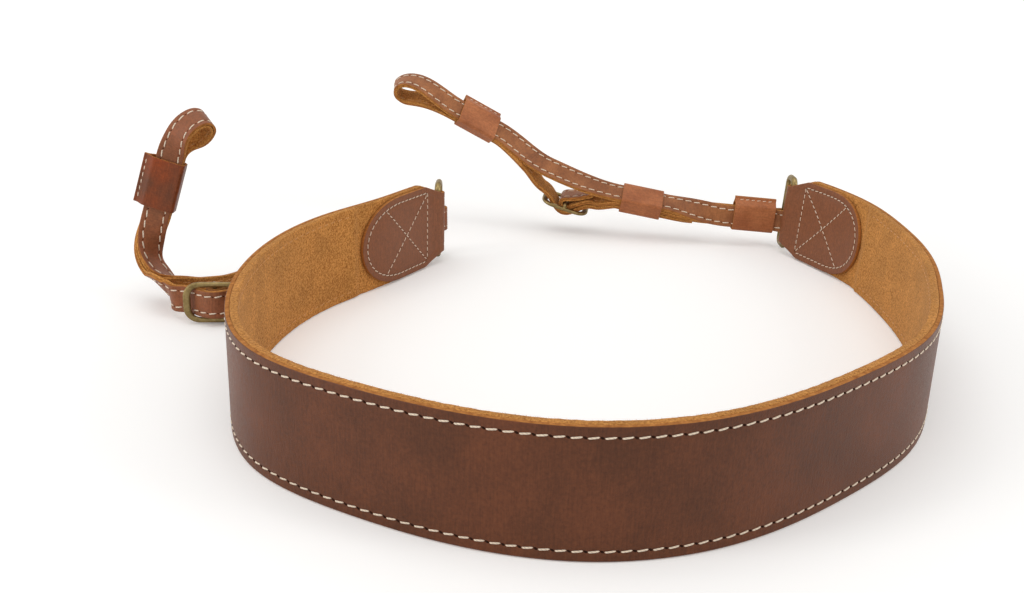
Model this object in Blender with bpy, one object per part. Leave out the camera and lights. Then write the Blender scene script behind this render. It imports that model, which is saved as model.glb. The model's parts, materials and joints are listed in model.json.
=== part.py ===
"""Leather camera strap: a wide shoulder pad with a narrow buckled strap at each end.

The pad is a strip of grain leather over a suede lining. Each end of the strip folds
round a brass ring and lies back over the suede as a sewn D-shaped tab. A narrow strap
of two layers goes from a buckle's centre bar through two keepers, round the ring, back
through the keepers, past the buckle and through a third keeper, round a lug loop,
through the buckle and into the middle keeper, where its tail ends.

Units are metres, +Z is up, and the pad stands on its lower edge.
"""

import math

import bmesh
import bpy
import numpy as np
from mathutils import Vector

MM = 0.001

# Clearance between two faces that touch on the real strap
GAP = 0.3 * MM

# Shoulder pad
PAD_WIDTH = 40.0 * MM
PAD_LEATHER = 1.5 * MM
PAD_SUEDE = 1.4 * MM
TAB_LENGTH = 59.0 * MM
TAB_MARGIN = 0.6 * MM
TAB_ROUNDING = 28.0 * MM
NECK_WIDTH = 29.0 * MM
NECK_LENGTH = 14.0 * MM
SUEDE_SETBACK = 9.0 * MM

# Middle line of the pad's foot, seen from above, from the left fold to the right fold
PAD_PLAN = np.array([
    (-35.5, 518.5), (-44.0, 505.0), (-60.5, 476.0), (-76.5, 452.0), (-88.5, 425.0),
    (-95.0, 388.0), (-91.5, 341.0), (-76.5, 305.5), (-43.0, 279.6), (-8.0, 264.2),
    (24.0, 259.8), (57.3, 267.8), (101.0, 298.5), (131.2, 331.3), (151.6, 379.2),
    (161.2, 424.0), (162.0, 462.0), (157.0, 502.5), (148.0, 526.5), (136.6, 551.0),
]) * MM
# Outward lean of the pad's wall at those points, in degrees
PAD_LEAN = np.array([0, 0, 0, 0, 0, 0, 0, 0, 0, 0, 0, 0, 0, 0, 0, 1.0, 2.5, 4.0, 5.5, 4.0])

# Rings and buckles, cast brass
RING_BAR = 3.0 * MM
RING_REACH = 11.0 * MM
RING_CORNER = 3.0 * MM
RING_SIDE_GAP = 1.0 * MM
BUCKLE_LENGTH = 25.0 * MM
BUCKLE_BAR_WIDTH = 2.2 * MM
BUCKLE_END_WIDTH = 3.0 * MM
BUCKLE_BAR_DEPTH = 1.8 * MM
BUCKLE_CORNER = 5.0 * MM
BUCKLE_SIDE_GAP = 0.7 * MM
BUCKLE_CENTRE_BAR = 1.8 * MM
BUCKLE_CENTRE_RISE = 2.2 * MM
# How far the buckle hangs below the line between the legs
BUCKLE_DROP = 7.0 * MM
# Extra room for the strap where it bends over the buckle's end bars
BUCKLE_SLACK = 0.9 * MM
# How steeply the legs rise past the centre bar, in degrees
BUCKLE_RISE = 30.0

# Narrow straps: two layers, sewn together along both edges
STRAP_WIDTH = 11.2 * MM
STRAP_LAYER = 0.95 * MM

# Keepers: bands of leather round the straps
KEEPER_LENGTH = 21.0 * MM
KEEPER_WALL = 0.9 * MM
KEEPER_CORNER = 1.5 * MM
KEEPER_FIN = 3.8 * MM

# Run of the narrow straps beyond the middle keeper, the buckle and the loops
FLAP_LENGTH = 12.5 * MM
TAIL_LENGTH = 17.0 * MM
LOOP_RADIUS = 5.2 * MM
RING_TO_KEEPER = 15.5 * MM

# Spacing of the cross-sections
PAD_STEP = 6.5 * MM
STRAP_STEP = 4.5 * MM
WRAP_STEP = 1.3 * MM
SPINE_STEP = 0.4 * MM
NOSE_STEPS = np.array([0.15, 0.6, 1.5, 3.0, 5.0, 8.0, 12.0]) * MM

# Values that follow from the sizes above
PAD_FACE = (PAD_LEATHER + GAP + PAD_SUEDE) / 2
STRAP_THICKNESS = 2 * STRAP_LAYER + GAP
STRAP_PITCH = STRAP_THICKNESS + GAP
FOLD_RADIUS = RING_BAR / 2 + GAP + PAD_LEATHER / 2
WRAP_RADIUS = RING_BAR / 2 + GAP + STRAP_THICKNESS / 2
BAR_WRAP = BUCKLE_CENTRE_BAR / 2 + 1.8 * GAP + STRAP_THICKNESS / 2

# How each narrow strap lies. The ring stands out from the pad's fold in the direction
# "ring", and the strap leaves it as "start" says: height, heading, climb and tilt. The
# stations further on are points midway between the legs: place, heading, climb, tilt
# and half the straight length there. The main leg goes by way of "main", the other leg
# by way of "buckle". Places and lengths are in millimetres and angles in degrees. The
# heading is the direction of the run seen from above, the climb is how it rises, and
# the tilt is how far the main leg's face turns up. A hand of -1 is the mirror image.
SIDES = {
    "right": {
        "hand": 1.0,
        "ring": 90.0,
        "start": (13.6, 180.0, 3.6, 1.7),
        "stations": {
            "middle_keeper": ((65.5, 563.0, 21.2), 175.0, 9.0, 60.0, 12.0),
            "main": ((19.7, 568.5, 33.6), 174.0, 22.0, 46.0, 3.0),
            "buckle": ((26.7, 574.0, 15.3), 174.0, 16.0, 80.0, 12.6),
            "drop": ((7.5, 571.5, 36.5), 180.0, 46.0, 56.0, 0.0),
            "lug_keeper": ((-20.5, 575.0, 57.0), 192.0, 29.0, 38.0, 12.0),
            "tip": ((-63.0, 580.0, 70.5), 178.0, -20.0, 72.0, 0.0),
        },
    },
    "left": {
        "hand": -1.0,
        "ring": 90.0,
        "start": (18.5, 200.0, -1.0, 0.0),
        "stations": {
            "middle_keeper": ((-91.0, 482.0, 11.5), 228.0, -3.0, -4.0, 12.0),
            "main": ((-127.0, 445.5, 6.6), 200.0, 0.0, -6.0, 3.0),
            "buckle": ((-119.8, 424.5, 9.0), 186.0, 0.0, -2.0, 14.5),
            "drop": ((-141.5, 436.0, 11.5), 156.0, 16.0, 38.0, 0.0),
            "corner": ((-151.7, 449.5, 14.5), 150.0, 42.0, 78.0, 0.0),
            "lug_keeper": ((-145.8, 453.5, 50.0), 12.0, 73.0, 10.0, 12.0),
            "tip": ((-127.0, 456.5, 77.0), 23.0, 35.0, 60.0, 0.0),
        },
    },
}

GRAIN_BROWN = (0.135, 0.055, 0.030, 1.0)
STRAP_BROWN = (0.300, 0.115, 0.062, 1.0)
KEEPER_BROWN = (0.350, 0.130, 0.065, 1.0)
SUEDE_TAN = (0.480, 0.205, 0.055, 1.0)
BRASS = (0.260, 0.215, 0.120, 1.0)


def unit(vectors):
    """Each row divided by its length."""
    vectors = np.asarray(vectors, dtype=float)
    return vectors / np.linalg.norm(vectors, axis=-1, keepdims=True)


def smooth_line(points, step):
    """Natural cubic spline through the points by chord length, sampled evenly."""
    knots = np.concatenate([[0.0], np.cumsum(np.linalg.norm(np.diff(points, axis=0), axis=1))])
    spans = np.diff(knots)
    count = len(points)
    system = np.eye(count)
    right_side = np.zeros_like(points)
    for row in range(1, count - 1):
        system[row, row - 1:row + 2] = (spans[row - 1], 2 * (spans[row - 1] + spans[row]), spans[row])
        slope_after = (points[row + 1] - points[row]) / spans[row]
        slope_before = (points[row] - points[row - 1]) / spans[row - 1]
        right_side[row] = 6 * (slope_after - slope_before)
    bends = np.linalg.solve(system, right_side)
    samples = np.linspace(0.0, knots[-1], int(knots[-1] / step) + 1)
    span = np.clip(np.searchsorted(knots, samples, side="right") - 1, 0, count - 2)
    width = spans[span][:, None]
    ahead = ((samples - knots[span]) / spans[span])[:, None]
    behind = 1.0 - ahead
    line = (behind * points[span] + ahead * points[span + 1]
            + ((behind ** 3 - behind) * bends[span] + (ahead ** 3 - ahead) * bends[span + 1])
            * width ** 2 / 6)
    return line, knots, samples


def arc_lengths(line):
    """Distance along a line of points, from its first point."""
    return np.concatenate([[0.0], np.cumsum(np.linalg.norm(np.diff(line, axis=0), axis=1))])


def spine_at(spine, along):
    """Place, face direction and width direction of a spine at the given distances.

    Beyond its ends a spine goes straight on.
    """
    along = np.asarray(along, dtype=float)
    inside = np.clip(along, 0.0, spine["along"][-1])
    place, face, width, ahead = [
        np.stack([np.interp(inside, spine["along"], spine[key][:, axis]) for axis in range(3)], axis=1)
        for key in ("place", "face", "width", "ahead")]
    return place + ahead * (along - inside)[:, None], face, width


def pad_spine():
    """The pad's foot line: faces point outwards, the width direction leans as the wall does."""
    line, knots, samples = smooth_line(PAD_PLAN, SPINE_STEP)
    ahead = unit(np.gradient(line, axis=0))
    outward = np.stack([ahead[:, 1], -ahead[:, 0]], axis=1)
    centre = PAD_PLAN.mean(axis=0)
    middle = len(line) // 2
    if np.dot(outward[middle], line[middle] - centre) < 0:
        outward = -outward
    lean = np.radians(np.interp(samples, knots, PAD_LEAN))[:, None]
    flat = np.zeros((len(line), 1))
    face = np.hstack([outward, flat])
    width = np.hstack([outward * np.sin(lean), np.cos(lean)])
    return dict(along=arc_lengths(line), place=np.hstack([line, flat]), face=face, width=width,
                ahead=np.hstack([ahead, flat]))


def station_frame(station, hand):
    """Centre, run direction, face direction and width direction of one station."""
    place, heading, climb, tilt, half = station
    heading, climb, tilt = (math.radians(value) for value in (heading, climb, tilt))
    level = np.array([math.cos(heading), math.sin(heading), 0.0])
    up = np.array([0.0, 0.0, 1.0])
    run = math.cos(climb) * level + math.sin(climb) * up
    side = hand * np.cross(up, level)
    rise = math.cos(climb) * up - math.sin(climb) * level
    face = math.cos(tilt) * side + math.sin(tilt) * rise
    return np.array(place) * MM, run, face, hand * np.cross(run, face), half * MM


def turned_between(first, second, share):
    """Directions that turn evenly from the first to the second as share goes from 0 to 1."""
    angle = math.acos(max(-1.0, min(1.0, float(np.dot(first, second)))))
    if angle < 1e-6:
        return np.repeat(first[None, :], len(share), axis=0)
    share = share[:, None]
    return (np.sin((1 - share) * angle) * first + np.sin(share * angle) * second) / math.sin(angle)


def strap_frames(side, ring):
    """Frames of one side's stations, from a point and the direction of its ring's outer bar."""
    height, heading, climb, tilt = side["start"]
    point, up = ring
    place = (point + up * (height * MM - point[2]) / up[2]) / MM
    frames = {"ring": station_frame((place, heading, climb, tilt, 3.0), side["hand"])}
    start, run, face, width, half = frames["ring"]
    frames["end_keeper"] = (start + run * RING_TO_KEEPER, run, face, width, KEEPER_LENGTH / 2 + 1.5 * MM)
    for name, station in side["stations"].items():
        frames[name] = station_frame(station, side["hand"])
    return frames


def lower_frames(frames):
    """The frames of the leg that goes by the buckle, on the line that the buckle hangs from."""
    chosen = {name: frame for name, frame in frames.items() if name != "main"}
    centre, run, face, width, half = frames["buckle"]
    chosen["buckle"] = (centre + face * BUCKLE_DROP, run, face, width, half)
    return chosen


def strap_spine(frames, hand):
    """A line through the given frames: straight at each of them, curved between them."""
    names = list(frames)
    lines, aheads, widths, marks = [], [], [], {}
    length = 0.0
    for index, name in enumerate(names):
        place, run, face, width, half = frames[name]
        if half > 0:
            share = np.linspace(-half, half, max(2, int(2 * half / SPINE_STEP)))[:, None]
            lines.append(place + share * run)
            aheads.append(np.repeat(run[None, :], len(share), axis=0))
            widths.append(np.repeat(width[None, :], len(share), axis=0))
        if index + 1 == len(names):
            break
        next_place, next_run, next_face, next_width, next_half = frames[names[index + 1]]
        start, end = place + half * run, next_place - next_half * next_run
        pull = np.linalg.norm(end - start)
        turn = math.acos(max(-1.0, min(1.0, float(np.dot(run, next_run)))))
        if turn > 1e-3:
            pull *= 2 * math.tan(turn / 4) / math.sin(turn / 2)
        share = np.linspace(0.0, 1.0, max(3, int(pull / SPINE_STEP)))[1:-1, None]
        line = ((2 * share ** 3 - 3 * share ** 2 + 1) * start + (share ** 3 - 2 * share ** 2 + share) * pull * run
                + (3 * share ** 2 - 2 * share ** 3) * end + (share ** 3 - share ** 2) * pull * next_run)
        slope = ((6 * share ** 2 - 6 * share) * (start - end) + (3 * share ** 2 - 4 * share + 1) * pull * run
                 + (3 * share ** 2 - 2 * share) * pull * next_run)
        lines.append(line)
        aheads.append(unit(slope))
        eased = (3 * share ** 2 - 2 * share ** 3)[:, 0]
        widths.append(turned_between(width, next_width, eased))
    place, ahead, width = (np.vstack(rows) for rows in (lines, aheads, widths))
    along = arc_lengths(place)
    width = unit(width - ahead * np.sum(width * ahead, axis=1)[:, None])
    face = hand * np.cross(width, ahead)
    first = frames[names[0]][0]
    offset = along[np.argmin(np.linalg.norm(place - first, axis=1))]
    for name in names:
        nearest = np.argmin(np.linalg.norm(place - frames[name][0], axis=1))
        marks[name] = along[nearest]
    marks["ring"] = offset
    return dict(along=along, place=place, face=face, width=width, ahead=ahead, marks=marks,
                frames=frames)


def flow(knots, step, wrap_step):
    """A side view drawn through knots of (along, height, heading in degrees).

    Between two knots it is the curve that leaves and arrives at their headings, as round
    as an arc where they turn. Returns the points and the left-hand normals.
    """
    points, normals = [], []
    for (a0, h0, d0), (a1, h1, d1) in zip(knots[:-1], knots[1:]):
        start, end = np.array([a0, h0]), np.array([a1, h1])
        lead0 = np.array([math.cos(math.radians(d0)), math.sin(math.radians(d0))])
        lead1 = np.array([math.cos(math.radians(d1)), math.sin(math.radians(d1))])
        chord = np.linalg.norm(end - start)
        turn = abs(math.radians((d1 - d0 + 180.0) % 360.0 - 180.0))
        pull = chord if turn < 1e-3 else chord * 2 * math.tan(turn / 4) / math.sin(turn / 2)
        bent = turn > 0.6 or (abs(h1 - h0) > 0.5 * MM and abs(h1 - h0) > 0.1 * chord)
        count = max(1, math.ceil(chord / (wrap_step if turn > 0.6 else (0.6 * step if bent else step))))
        share = (np.arange(count) / count)[:, None]
        points.append((2 * share ** 3 - 3 * share ** 2 + 1) * start
                      + (share ** 3 - 2 * share ** 2 + share) * pull * lead0
                      + (3 * share ** 2 - 2 * share ** 3) * end + (share ** 3 - share ** 2) * pull * lead1)
        slope = unit((6 * share ** 2 - 6 * share) * (start - end)
                     + (3 * share ** 2 - 4 * share + 1) * pull * lead0
                     + (3 * share ** 2 - 2 * share) * pull * lead1)
        normals.append(np.stack([-slope[:, 1], slope[:, 0]], axis=1))
    points.append(np.array([knots[-1][:2]]))
    last = math.radians(knots[-1][2])
    normals.append(np.array([[-math.sin(last), math.cos(last)]]))
    return np.vstack(points), np.vstack(normals)


def ribbon(runs, near, far, low, high):
    """A strip of leather laid along the side views of one or more spines.

    Each run is a spine with the points and normals of its side view. near and far are
    the distances of the strip's two faces from the drawn line, low and high its two
    edges along the width direction.
    """
    count = sum(len(points) for spine, points, normals in runs)
    low = np.broadcast_to(low, count)[:, None]
    high = np.broadcast_to(high, count)[:, None]
    corners = []
    for offset, edge in ((near, low), (far, low), (far, high), (near, high)):
        laid = []
        for spine, points, normals in runs:
            drawn = points + normals * offset
            place, face, width = spine_at(spine, drawn[:, 0])
            laid.append((place + face * drawn[:, 1:2], width))
        place, width = (np.vstack(rows) for rows in zip(*laid))
        corners.append(place + width * edge)
    verts = np.stack(corners, axis=1).reshape(-1, 3)
    faces = [(0, 1, 2, 3)]
    for section in range(count - 1):
        base = 4 * section
        for side in range(4):
            turn = (side + 1) % 4
            faces.append((base + side, base + 4 + side, base + 4 + turn, base + turn))
    last = 4 * (count - 1)
    faces.append((last + 3, last + 2, last + 1, last))
    return verts, faces


def swept_section(path, across, up, section, breadth=1.0):
    """A closed path swept with a section of (across, up) points.

    breadth widens the section across the path, by one value or one for each path point.
    """
    count, sides = len(path), len(section)
    wide = across * np.broadcast_to(breadth, count)[:, None]
    rings = path[:, None, :] + wide[:, None, :] * section[None, :, :1] + up[:, None, :] * section[None, :, 1:]
    faces = []
    for ring in range(count):
        for side in range(sides):
            turn = (side + 1) % sides
            after = (ring + 1) % count
            faces.append((ring * sides + side, after * sides + side, after * sides + turn, ring * sides + turn))
    return rings.reshape(-1, 3), faces


def ellipse(width, depth, sides):
    """Points round an ellipse."""
    angle = np.arange(sides) * 2 * math.pi / sides
    return np.stack([np.cos(angle) * width / 2, np.sin(angle) * depth / 2], axis=1)


def rounded_box(half_a, half_b, corner, arc_points):
    """Outline of a rounded rectangle, anticlockwise, with its outward normals."""
    points, normals = [], []
    for quarter, (sign_a, sign_b) in enumerate(((1, 1), (-1, 1), (-1, -1), (1, -1))):
        for turn in np.linspace(0.0, math.pi / 2, arc_points) + quarter * math.pi / 2:
            normal = np.array([math.cos(turn), math.sin(turn)])
            middle = np.array([sign_a * (half_a - corner), sign_b * (half_b - corner)])
            points.append(middle + corner * normal)
            normals.append(normal)
    return np.array(points), np.array(normals)


def material(name, colour, roughness, metallic=0.0):
    """A Principled material with one colour."""
    made = bpy.data.materials.new(name)
    made.use_nodes = True
    shader = made.node_tree.nodes["Principled BSDF"]
    shader.inputs["Base Color"].default_value = colour
    shader.inputs["Roughness"].default_value = roughness
    shader.inputs["Metallic"].default_value = metallic
    made.diffuse_color = colour
    return made


def outward_mesh(name, verts, faces):
    """A mesh of the given faces, all pointing out."""
    mesh = bpy.data.meshes.new(name)
    mesh.from_pydata([tuple(vert) for vert in verts], [], faces)
    body = bmesh.new()
    body.from_mesh(mesh)
    bmesh.ops.recalc_face_normals(body, faces=body.faces)
    if body.calc_volume(signed=True) < 0:
        bmesh.ops.reverse_faces(body, faces=body.faces)
    bmesh.ops.triangulate(body, faces=[face for face in body.faces if len(face.verts) > 3])
    body.to_mesh(mesh)
    body.free()
    return mesh


def piece(name, verts, faces, finish, pivot=None, smooth_angle=None):
    """An object of its own, with its origin at its pivot."""
    origin = np.zeros(3) if pivot is None else np.asarray(pivot)
    mesh = outward_mesh(name, np.asarray(verts) - origin, faces)
    if smooth_angle is not None:
        mesh.shade_smooth()
        mesh.set_sharp_from_angle(angle=math.radians(smooth_angle))
    made = bpy.data.objects.new(name, mesh)
    made.location = Vector(origin)
    made.data.materials.append(finish)
    bpy.context.scene.collection.objects.link(made)
    return made


def cut_or_join(target, tool, operation):
    """Boolean modifier that keeps its tool out of the model."""
    tool.hide_render = True
    tool.display_type = "WIRE"
    change = target.modifiers.new(operation.lower(), "BOOLEAN")
    change.operation = operation
    change.solver = "EXACT"
    change.object = tool


def pad_layout(spine):
    """Heights of the pad's leather, and where its fold bars stand along the spine."""
    reach = FOLD_RADIUS + PAD_LEATHER / 2
    ends = (reach, spine["along"][-1] - reach)
    outer = PAD_FACE - PAD_LEATHER / 2
    tab = -PAD_FACE - GAP - PAD_LEATHER / 2
    return ends, outer, tab, (outer + tab) / 2


def neck_shoulder(along, bars):
    """Half the height of the pad's leather, which tapers to the neck at each fold bar."""
    from_bar = np.minimum(along - bars[0], bars[1] - along)
    share = np.clip(from_bar / NECK_LENGTH, 0.0, 1.0)
    return (NECK_WIDTH + (PAD_WIDTH - NECK_WIDTH) * share) / 2


def tab_nose(from_tip):
    """Half the height of a tab near its round tip, which is a full oval."""
    nose = np.clip(1.0 - from_tip / TAB_ROUNDING, 0.0, 1.0)
    return (PAD_WIDTH / 2 - TAB_MARGIN) * np.sqrt(np.clip(1.0 - nose ** 2.4, 0.0, 1.0))


def build_pad(finish):
    """The grain-leather strip with its folded tabs, and the suede lining under it."""
    spine = pad_spine()
    bars, outer, tab, middle = pad_layout(spine)
    tips = (bars[0] + TAB_LENGTH, bars[1] - TAB_LENGTH)
    bulge = NECK_LENGTH - 4 * MM
    points, normals = flow([
        (tips[0] - NOSE_STEPS[-1], tab, 180.0),
        (bars[0] + bulge, tab, 180.0),
        (bars[0], middle - FOLD_RADIUS, 180.0),
        (bars[0] - FOLD_RADIUS, middle, 90.0),
        (bars[0], middle + FOLD_RADIUS, 0.0),
        (bars[0] + bulge, outer, 0.0),
        (bars[1] - bulge, outer, 0.0),
        (bars[1], middle + FOLD_RADIUS, 0.0),
        (bars[1] + FOLD_RADIUS, middle, -90.0),
        (bars[1], middle - FOLD_RADIUS, 180.0),
        (bars[1] - bulge, tab, 180.0),
        (tips[1] + NOSE_STEPS[-1], tab, 180.0),
    ], PAD_STEP, WRAP_STEP)
    first_nose = np.stack([tips[0] - NOSE_STEPS[:-1], np.full(len(NOSE_STEPS) - 1, tab)], axis=1)
    last_nose = np.stack([tips[1] + NOSE_STEPS[-2::-1], np.full(len(NOSE_STEPS) - 1, tab)], axis=1)
    points = np.vstack([first_nose, points, last_nose])
    level = np.repeat(normals[:1], len(first_nose), axis=0)
    normals = np.vstack([level, normals, level])

    half = neck_shoulder(points[:, 0], bars)
    on_tab = points[:, 1] < middle
    from_tip = np.where(points[:, 0] < spine["along"][-1] / 2, tips[0] - points[:, 0], points[:, 0] - tips[1])
    half = np.where(on_tab, np.minimum(half, tab_nose(from_tip)), half)
    verts, faces = ribbon([(spine, points, normals)], -PAD_LEATHER / 2, PAD_LEATHER / 2,
                          PAD_WIDTH / 2 - half, PAD_WIDTH / 2 + half)
    piece("pad_leather", verts, faces, finish["grain"], smooth_angle=40)

    start, end = bars[0] + SUEDE_SETBACK, bars[1] - SUEDE_SETBACK
    height = -PAD_FACE + PAD_SUEDE / 2
    points, normals = flow([
        (start, height, 0.0), (bars[0] + NECK_LENGTH, height, 0.0),
        (bars[1] - NECK_LENGTH, height, 0.0), (end, height, 0.0)], PAD_STEP, WRAP_STEP)
    half = neck_shoulder(points[:, 0], bars)
    verts, faces = ribbon([(spine, points, normals)], -PAD_SUEDE / 2, PAD_SUEDE / 2,
                          PAD_WIDTH / 2 - half, PAD_WIDTH / 2 + half)
    piece("pad_suede_lining", verts, faces, finish["suede"], smooth_angle=40)
    return spine, bars, middle


def build_ring(side, pad, bar, height, finish):
    """The ring between the pad's fold and the narrow strap: a rounded rectangle of round bar.

    Returns the middle of its outer bar, and the direction of the bar.
    """
    place, face, width = spine_at(pad, [bar])
    fold = place[0] + face[0] * height + width[0] * PAD_WIDTH / 2
    heading = math.radians(SIDES[side]["ring"])
    up = width[0]
    reach = np.array([math.cos(heading), math.sin(heading), 0.0])
    reach = unit(reach - up * np.dot(reach, up))
    half_reach = RING_REACH / 2
    half_height = NECK_WIDTH / 2 + RING_SIDE_GAP + RING_BAR / 2
    outline, normal = rounded_box(half_reach, half_height, RING_CORNER, 4)
    centre = fold + reach * half_reach
    path = centre + outline[:, :1] * reach + outline[:, 1:] * up
    across = normal[:, :1] * reach + normal[:, 1:] * up
    out = np.repeat(np.cross(reach, up)[None, :], len(path), axis=0)
    verts, faces = swept_section(path, across, out, ellipse(RING_BAR, RING_BAR, 10))
    piece(f"ring_{side}", verts, faces, finish["brass"], pivot=fold, smooth_angle=50)
    return fold + reach * RING_REACH, up


def strap_runs(main, lower):
    """Side views of one narrow strap, from its sewn flap to its free tail.

    The fixed leg goes from the buckle's centre bar to the ring, the main leg from the
    ring to the lug loop, and the threaded leg from the loop to the buckle, where it goes
    over the outer bar, under the centre bar and over the inner bar. The tail then lies
    along the fixed leg. The main leg has a spine of its own.
    """
    marks = lower["marks"]
    ring, buckle, middle, lug_keeper = (marks[name] for name in ("ring", "buckle", "middle_keeper", "lug_keeper"))
    half = STRAP_PITCH / 2
    keeper = KEEPER_LENGTH / 2 + 1.0 * MM
    bar = BUCKLE_CENTRE_RISE - BUCKLE_DROP
    rim = BUCKLE_LENGTH / 2 - BUCKLE_END_WIDTH
    over = BUCKLE_BAR_DEPTH / 2 + GAP + STRAP_THICKNESS / 2 + BUCKLE_SLACK - BUCKLE_DROP
    under = np.array([math.sin(math.radians(BUCKLE_RISE)), math.cos(math.radians(BUCKLE_RISE))])
    wrap_end = np.array([buckle, bar]) - BAR_WRAP * under
    outer_end = np.array([buckle, bar]) - (BAR_WRAP + STRAP_PITCH + BUCKLE_SLACK / 2) * under
    shared = [
        (buckle - rim, over + 1.25 * STRAP_PITCH, 180.0 - BUCKLE_RISE),
        (middle + keeper, -half, 180.0),
    ]
    fixed = flow([
        (buckle - FLAP_LENGTH, over + 3.4 * STRAP_PITCH, -34.0),
        (buckle, bar + BAR_WRAP, -16.0),
        (buckle + BAR_WRAP, bar, -90.0),
        (wrap_end[0], wrap_end[1], 180.0 - BUCKLE_RISE),
    ] + shared + [
        (ring + 5.5 * MM, -half, 180.0),
        (ring, -WRAP_RADIUS, 180.0),
    ], STRAP_STEP, WRAP_STEP)

    upper_marks = main["marks"]
    tip = upper_marks["tip"]
    loop = 1.6 * LOOP_RADIUS
    main_leg = flow([
        (ring, -WRAP_RADIUS, 180.0),
        (ring - WRAP_RADIUS, 0.0, 90.0),
        (ring, WRAP_RADIUS, 0.0),
        (ring + 5.5 * MM, half, 0.0),
        (upper_marks["lug_keeper"] + keeper, half, 0.0),
        (tip - loop, LOOP_RADIUS, 0.0),
        (tip, 0.0, -90.0),
        (tip - loop, -LOOP_RADIUS, 180.0),
        (upper_marks["lug_keeper"] + keeper, -half, 180.0),
    ], STRAP_STEP, WRAP_STEP)

    tail_points, tail_normals = flow(shared + [(middle - KEEPER_LENGTH / 2 - TAIL_LENGTH, -half, 180.0)],
                                     STRAP_STEP, WRAP_STEP)
    tail_points = tail_points + tail_normals * STRAP_PITCH
    threaded_points, threaded_normals = flow([
        (lug_keeper + keeper, -half, 180.0),
        (buckle + rim + 17.0 * MM, -half, 180.0),
        (buckle + rim, over, 180.0 + BUCKLE_RISE + 8.0),
        (buckle, bar - BAR_WRAP - STRAP_PITCH - BUCKLE_SLACK / 2, 180.0),
        (outer_end[0], outer_end[1], 180.0 - BUCKLE_RISE),
        (tail_points[0, 0], tail_points[0, 1], shared[0][2]),
    ], STRAP_STEP, WRAP_STEP)
    return [
        (lower, fixed[0][:-1], fixed[1][:-1]),
        (main, main_leg[0][:-1], main_leg[1][:-1]),
        (lower, threaded_points[:-1], threaded_normals[:-1]),
        (lower, tail_points, tail_normals),
    ]


def build_strap(side, main, lower, finish):
    """Both layers of one narrow strap: grain leather outside, suede inside."""
    runs = strap_runs(main, lower)
    pivot = lower["frames"]["ring"][0]
    half = STRAP_WIDTH / 2
    inner, outer = GAP / 2, GAP / 2 + STRAP_LAYER
    verts, faces = ribbon(runs, inner, outer, -half, half)
    piece(f"strap_{side}_leather", verts, faces, finish["strap"], pivot=pivot, smooth_angle=40)
    verts, faces = ribbon(runs, -outer, -inner, -half, half)
    piece(f"strap_{side}_suede", verts, faces, finish["suede"], pivot=pivot, smooth_angle=40)


def build_buckle(side, frame, finish):
    """Oval brass buckle with a centre bar that stands on two short posts."""
    centre, run, face, width, half = frame
    half_height = STRAP_WIDTH / 2 + BUCKLE_SIDE_GAP + BUCKLE_BAR_WIDTH / 2
    outline, normal = rounded_box((BUCKLE_LENGTH - BUCKLE_END_WIDTH) / 2, half_height, BUCKLE_CORNER, 7)
    path = centre + outline[:, :1] * run + outline[:, 1:] * width
    across = normal[:, :1] * run + normal[:, 1:] * width
    breadth = 1.0 + (BUCKLE_END_WIDTH / BUCKLE_BAR_WIDTH - 1.0) * normal[:, 0] ** 2
    verts, faces = swept_section(path, across, np.repeat(face[None, :], len(path), axis=0),
                                 ellipse(BUCKLE_BAR_WIDTH, BUCKLE_BAR_DEPTH, 10), breadth)
    frame = piece(f"buckle_{side}", verts, faces, finish["brass"], pivot=centre, smooth_angle=50)
    bridge = np.array([(-1, 0), (-1, 1), (1, 1), (1, 0)]) * (half_height, BUCKLE_CENTRE_RISE)
    mitres = np.array([(-1, 0), (-1, 1), (1, 1), (1, 0)])
    round_bar = ellipse(BUCKLE_CENTRE_BAR, BUCKLE_CENTRE_BAR, 12)
    rings = [centre + width * place[0] + face * place[1] + round_bar[:, :1] * run
             + round_bar[:, 1:] * (width * mitre[0] + face * mitre[1])
             for place, mitre in zip(bridge, mitres)]
    sides, last = len(round_bar), len(round_bar) * 3
    faces = [tuple(range(sides)), tuple(range(last + sides - 1, last - 1, -1))]
    faces += [(ring + i, ring + (i + 1) % sides, ring + sides + (i + 1) % sides, ring + sides + i)
              for ring in range(0, last, sides) for i in range(sides)]
    bar = piece(f"buckle_{side}_centre_bar", np.vstack(rings), faces, finish["brass"], pivot=centre)
    cut_or_join(frame, bar, "UNION")


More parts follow.
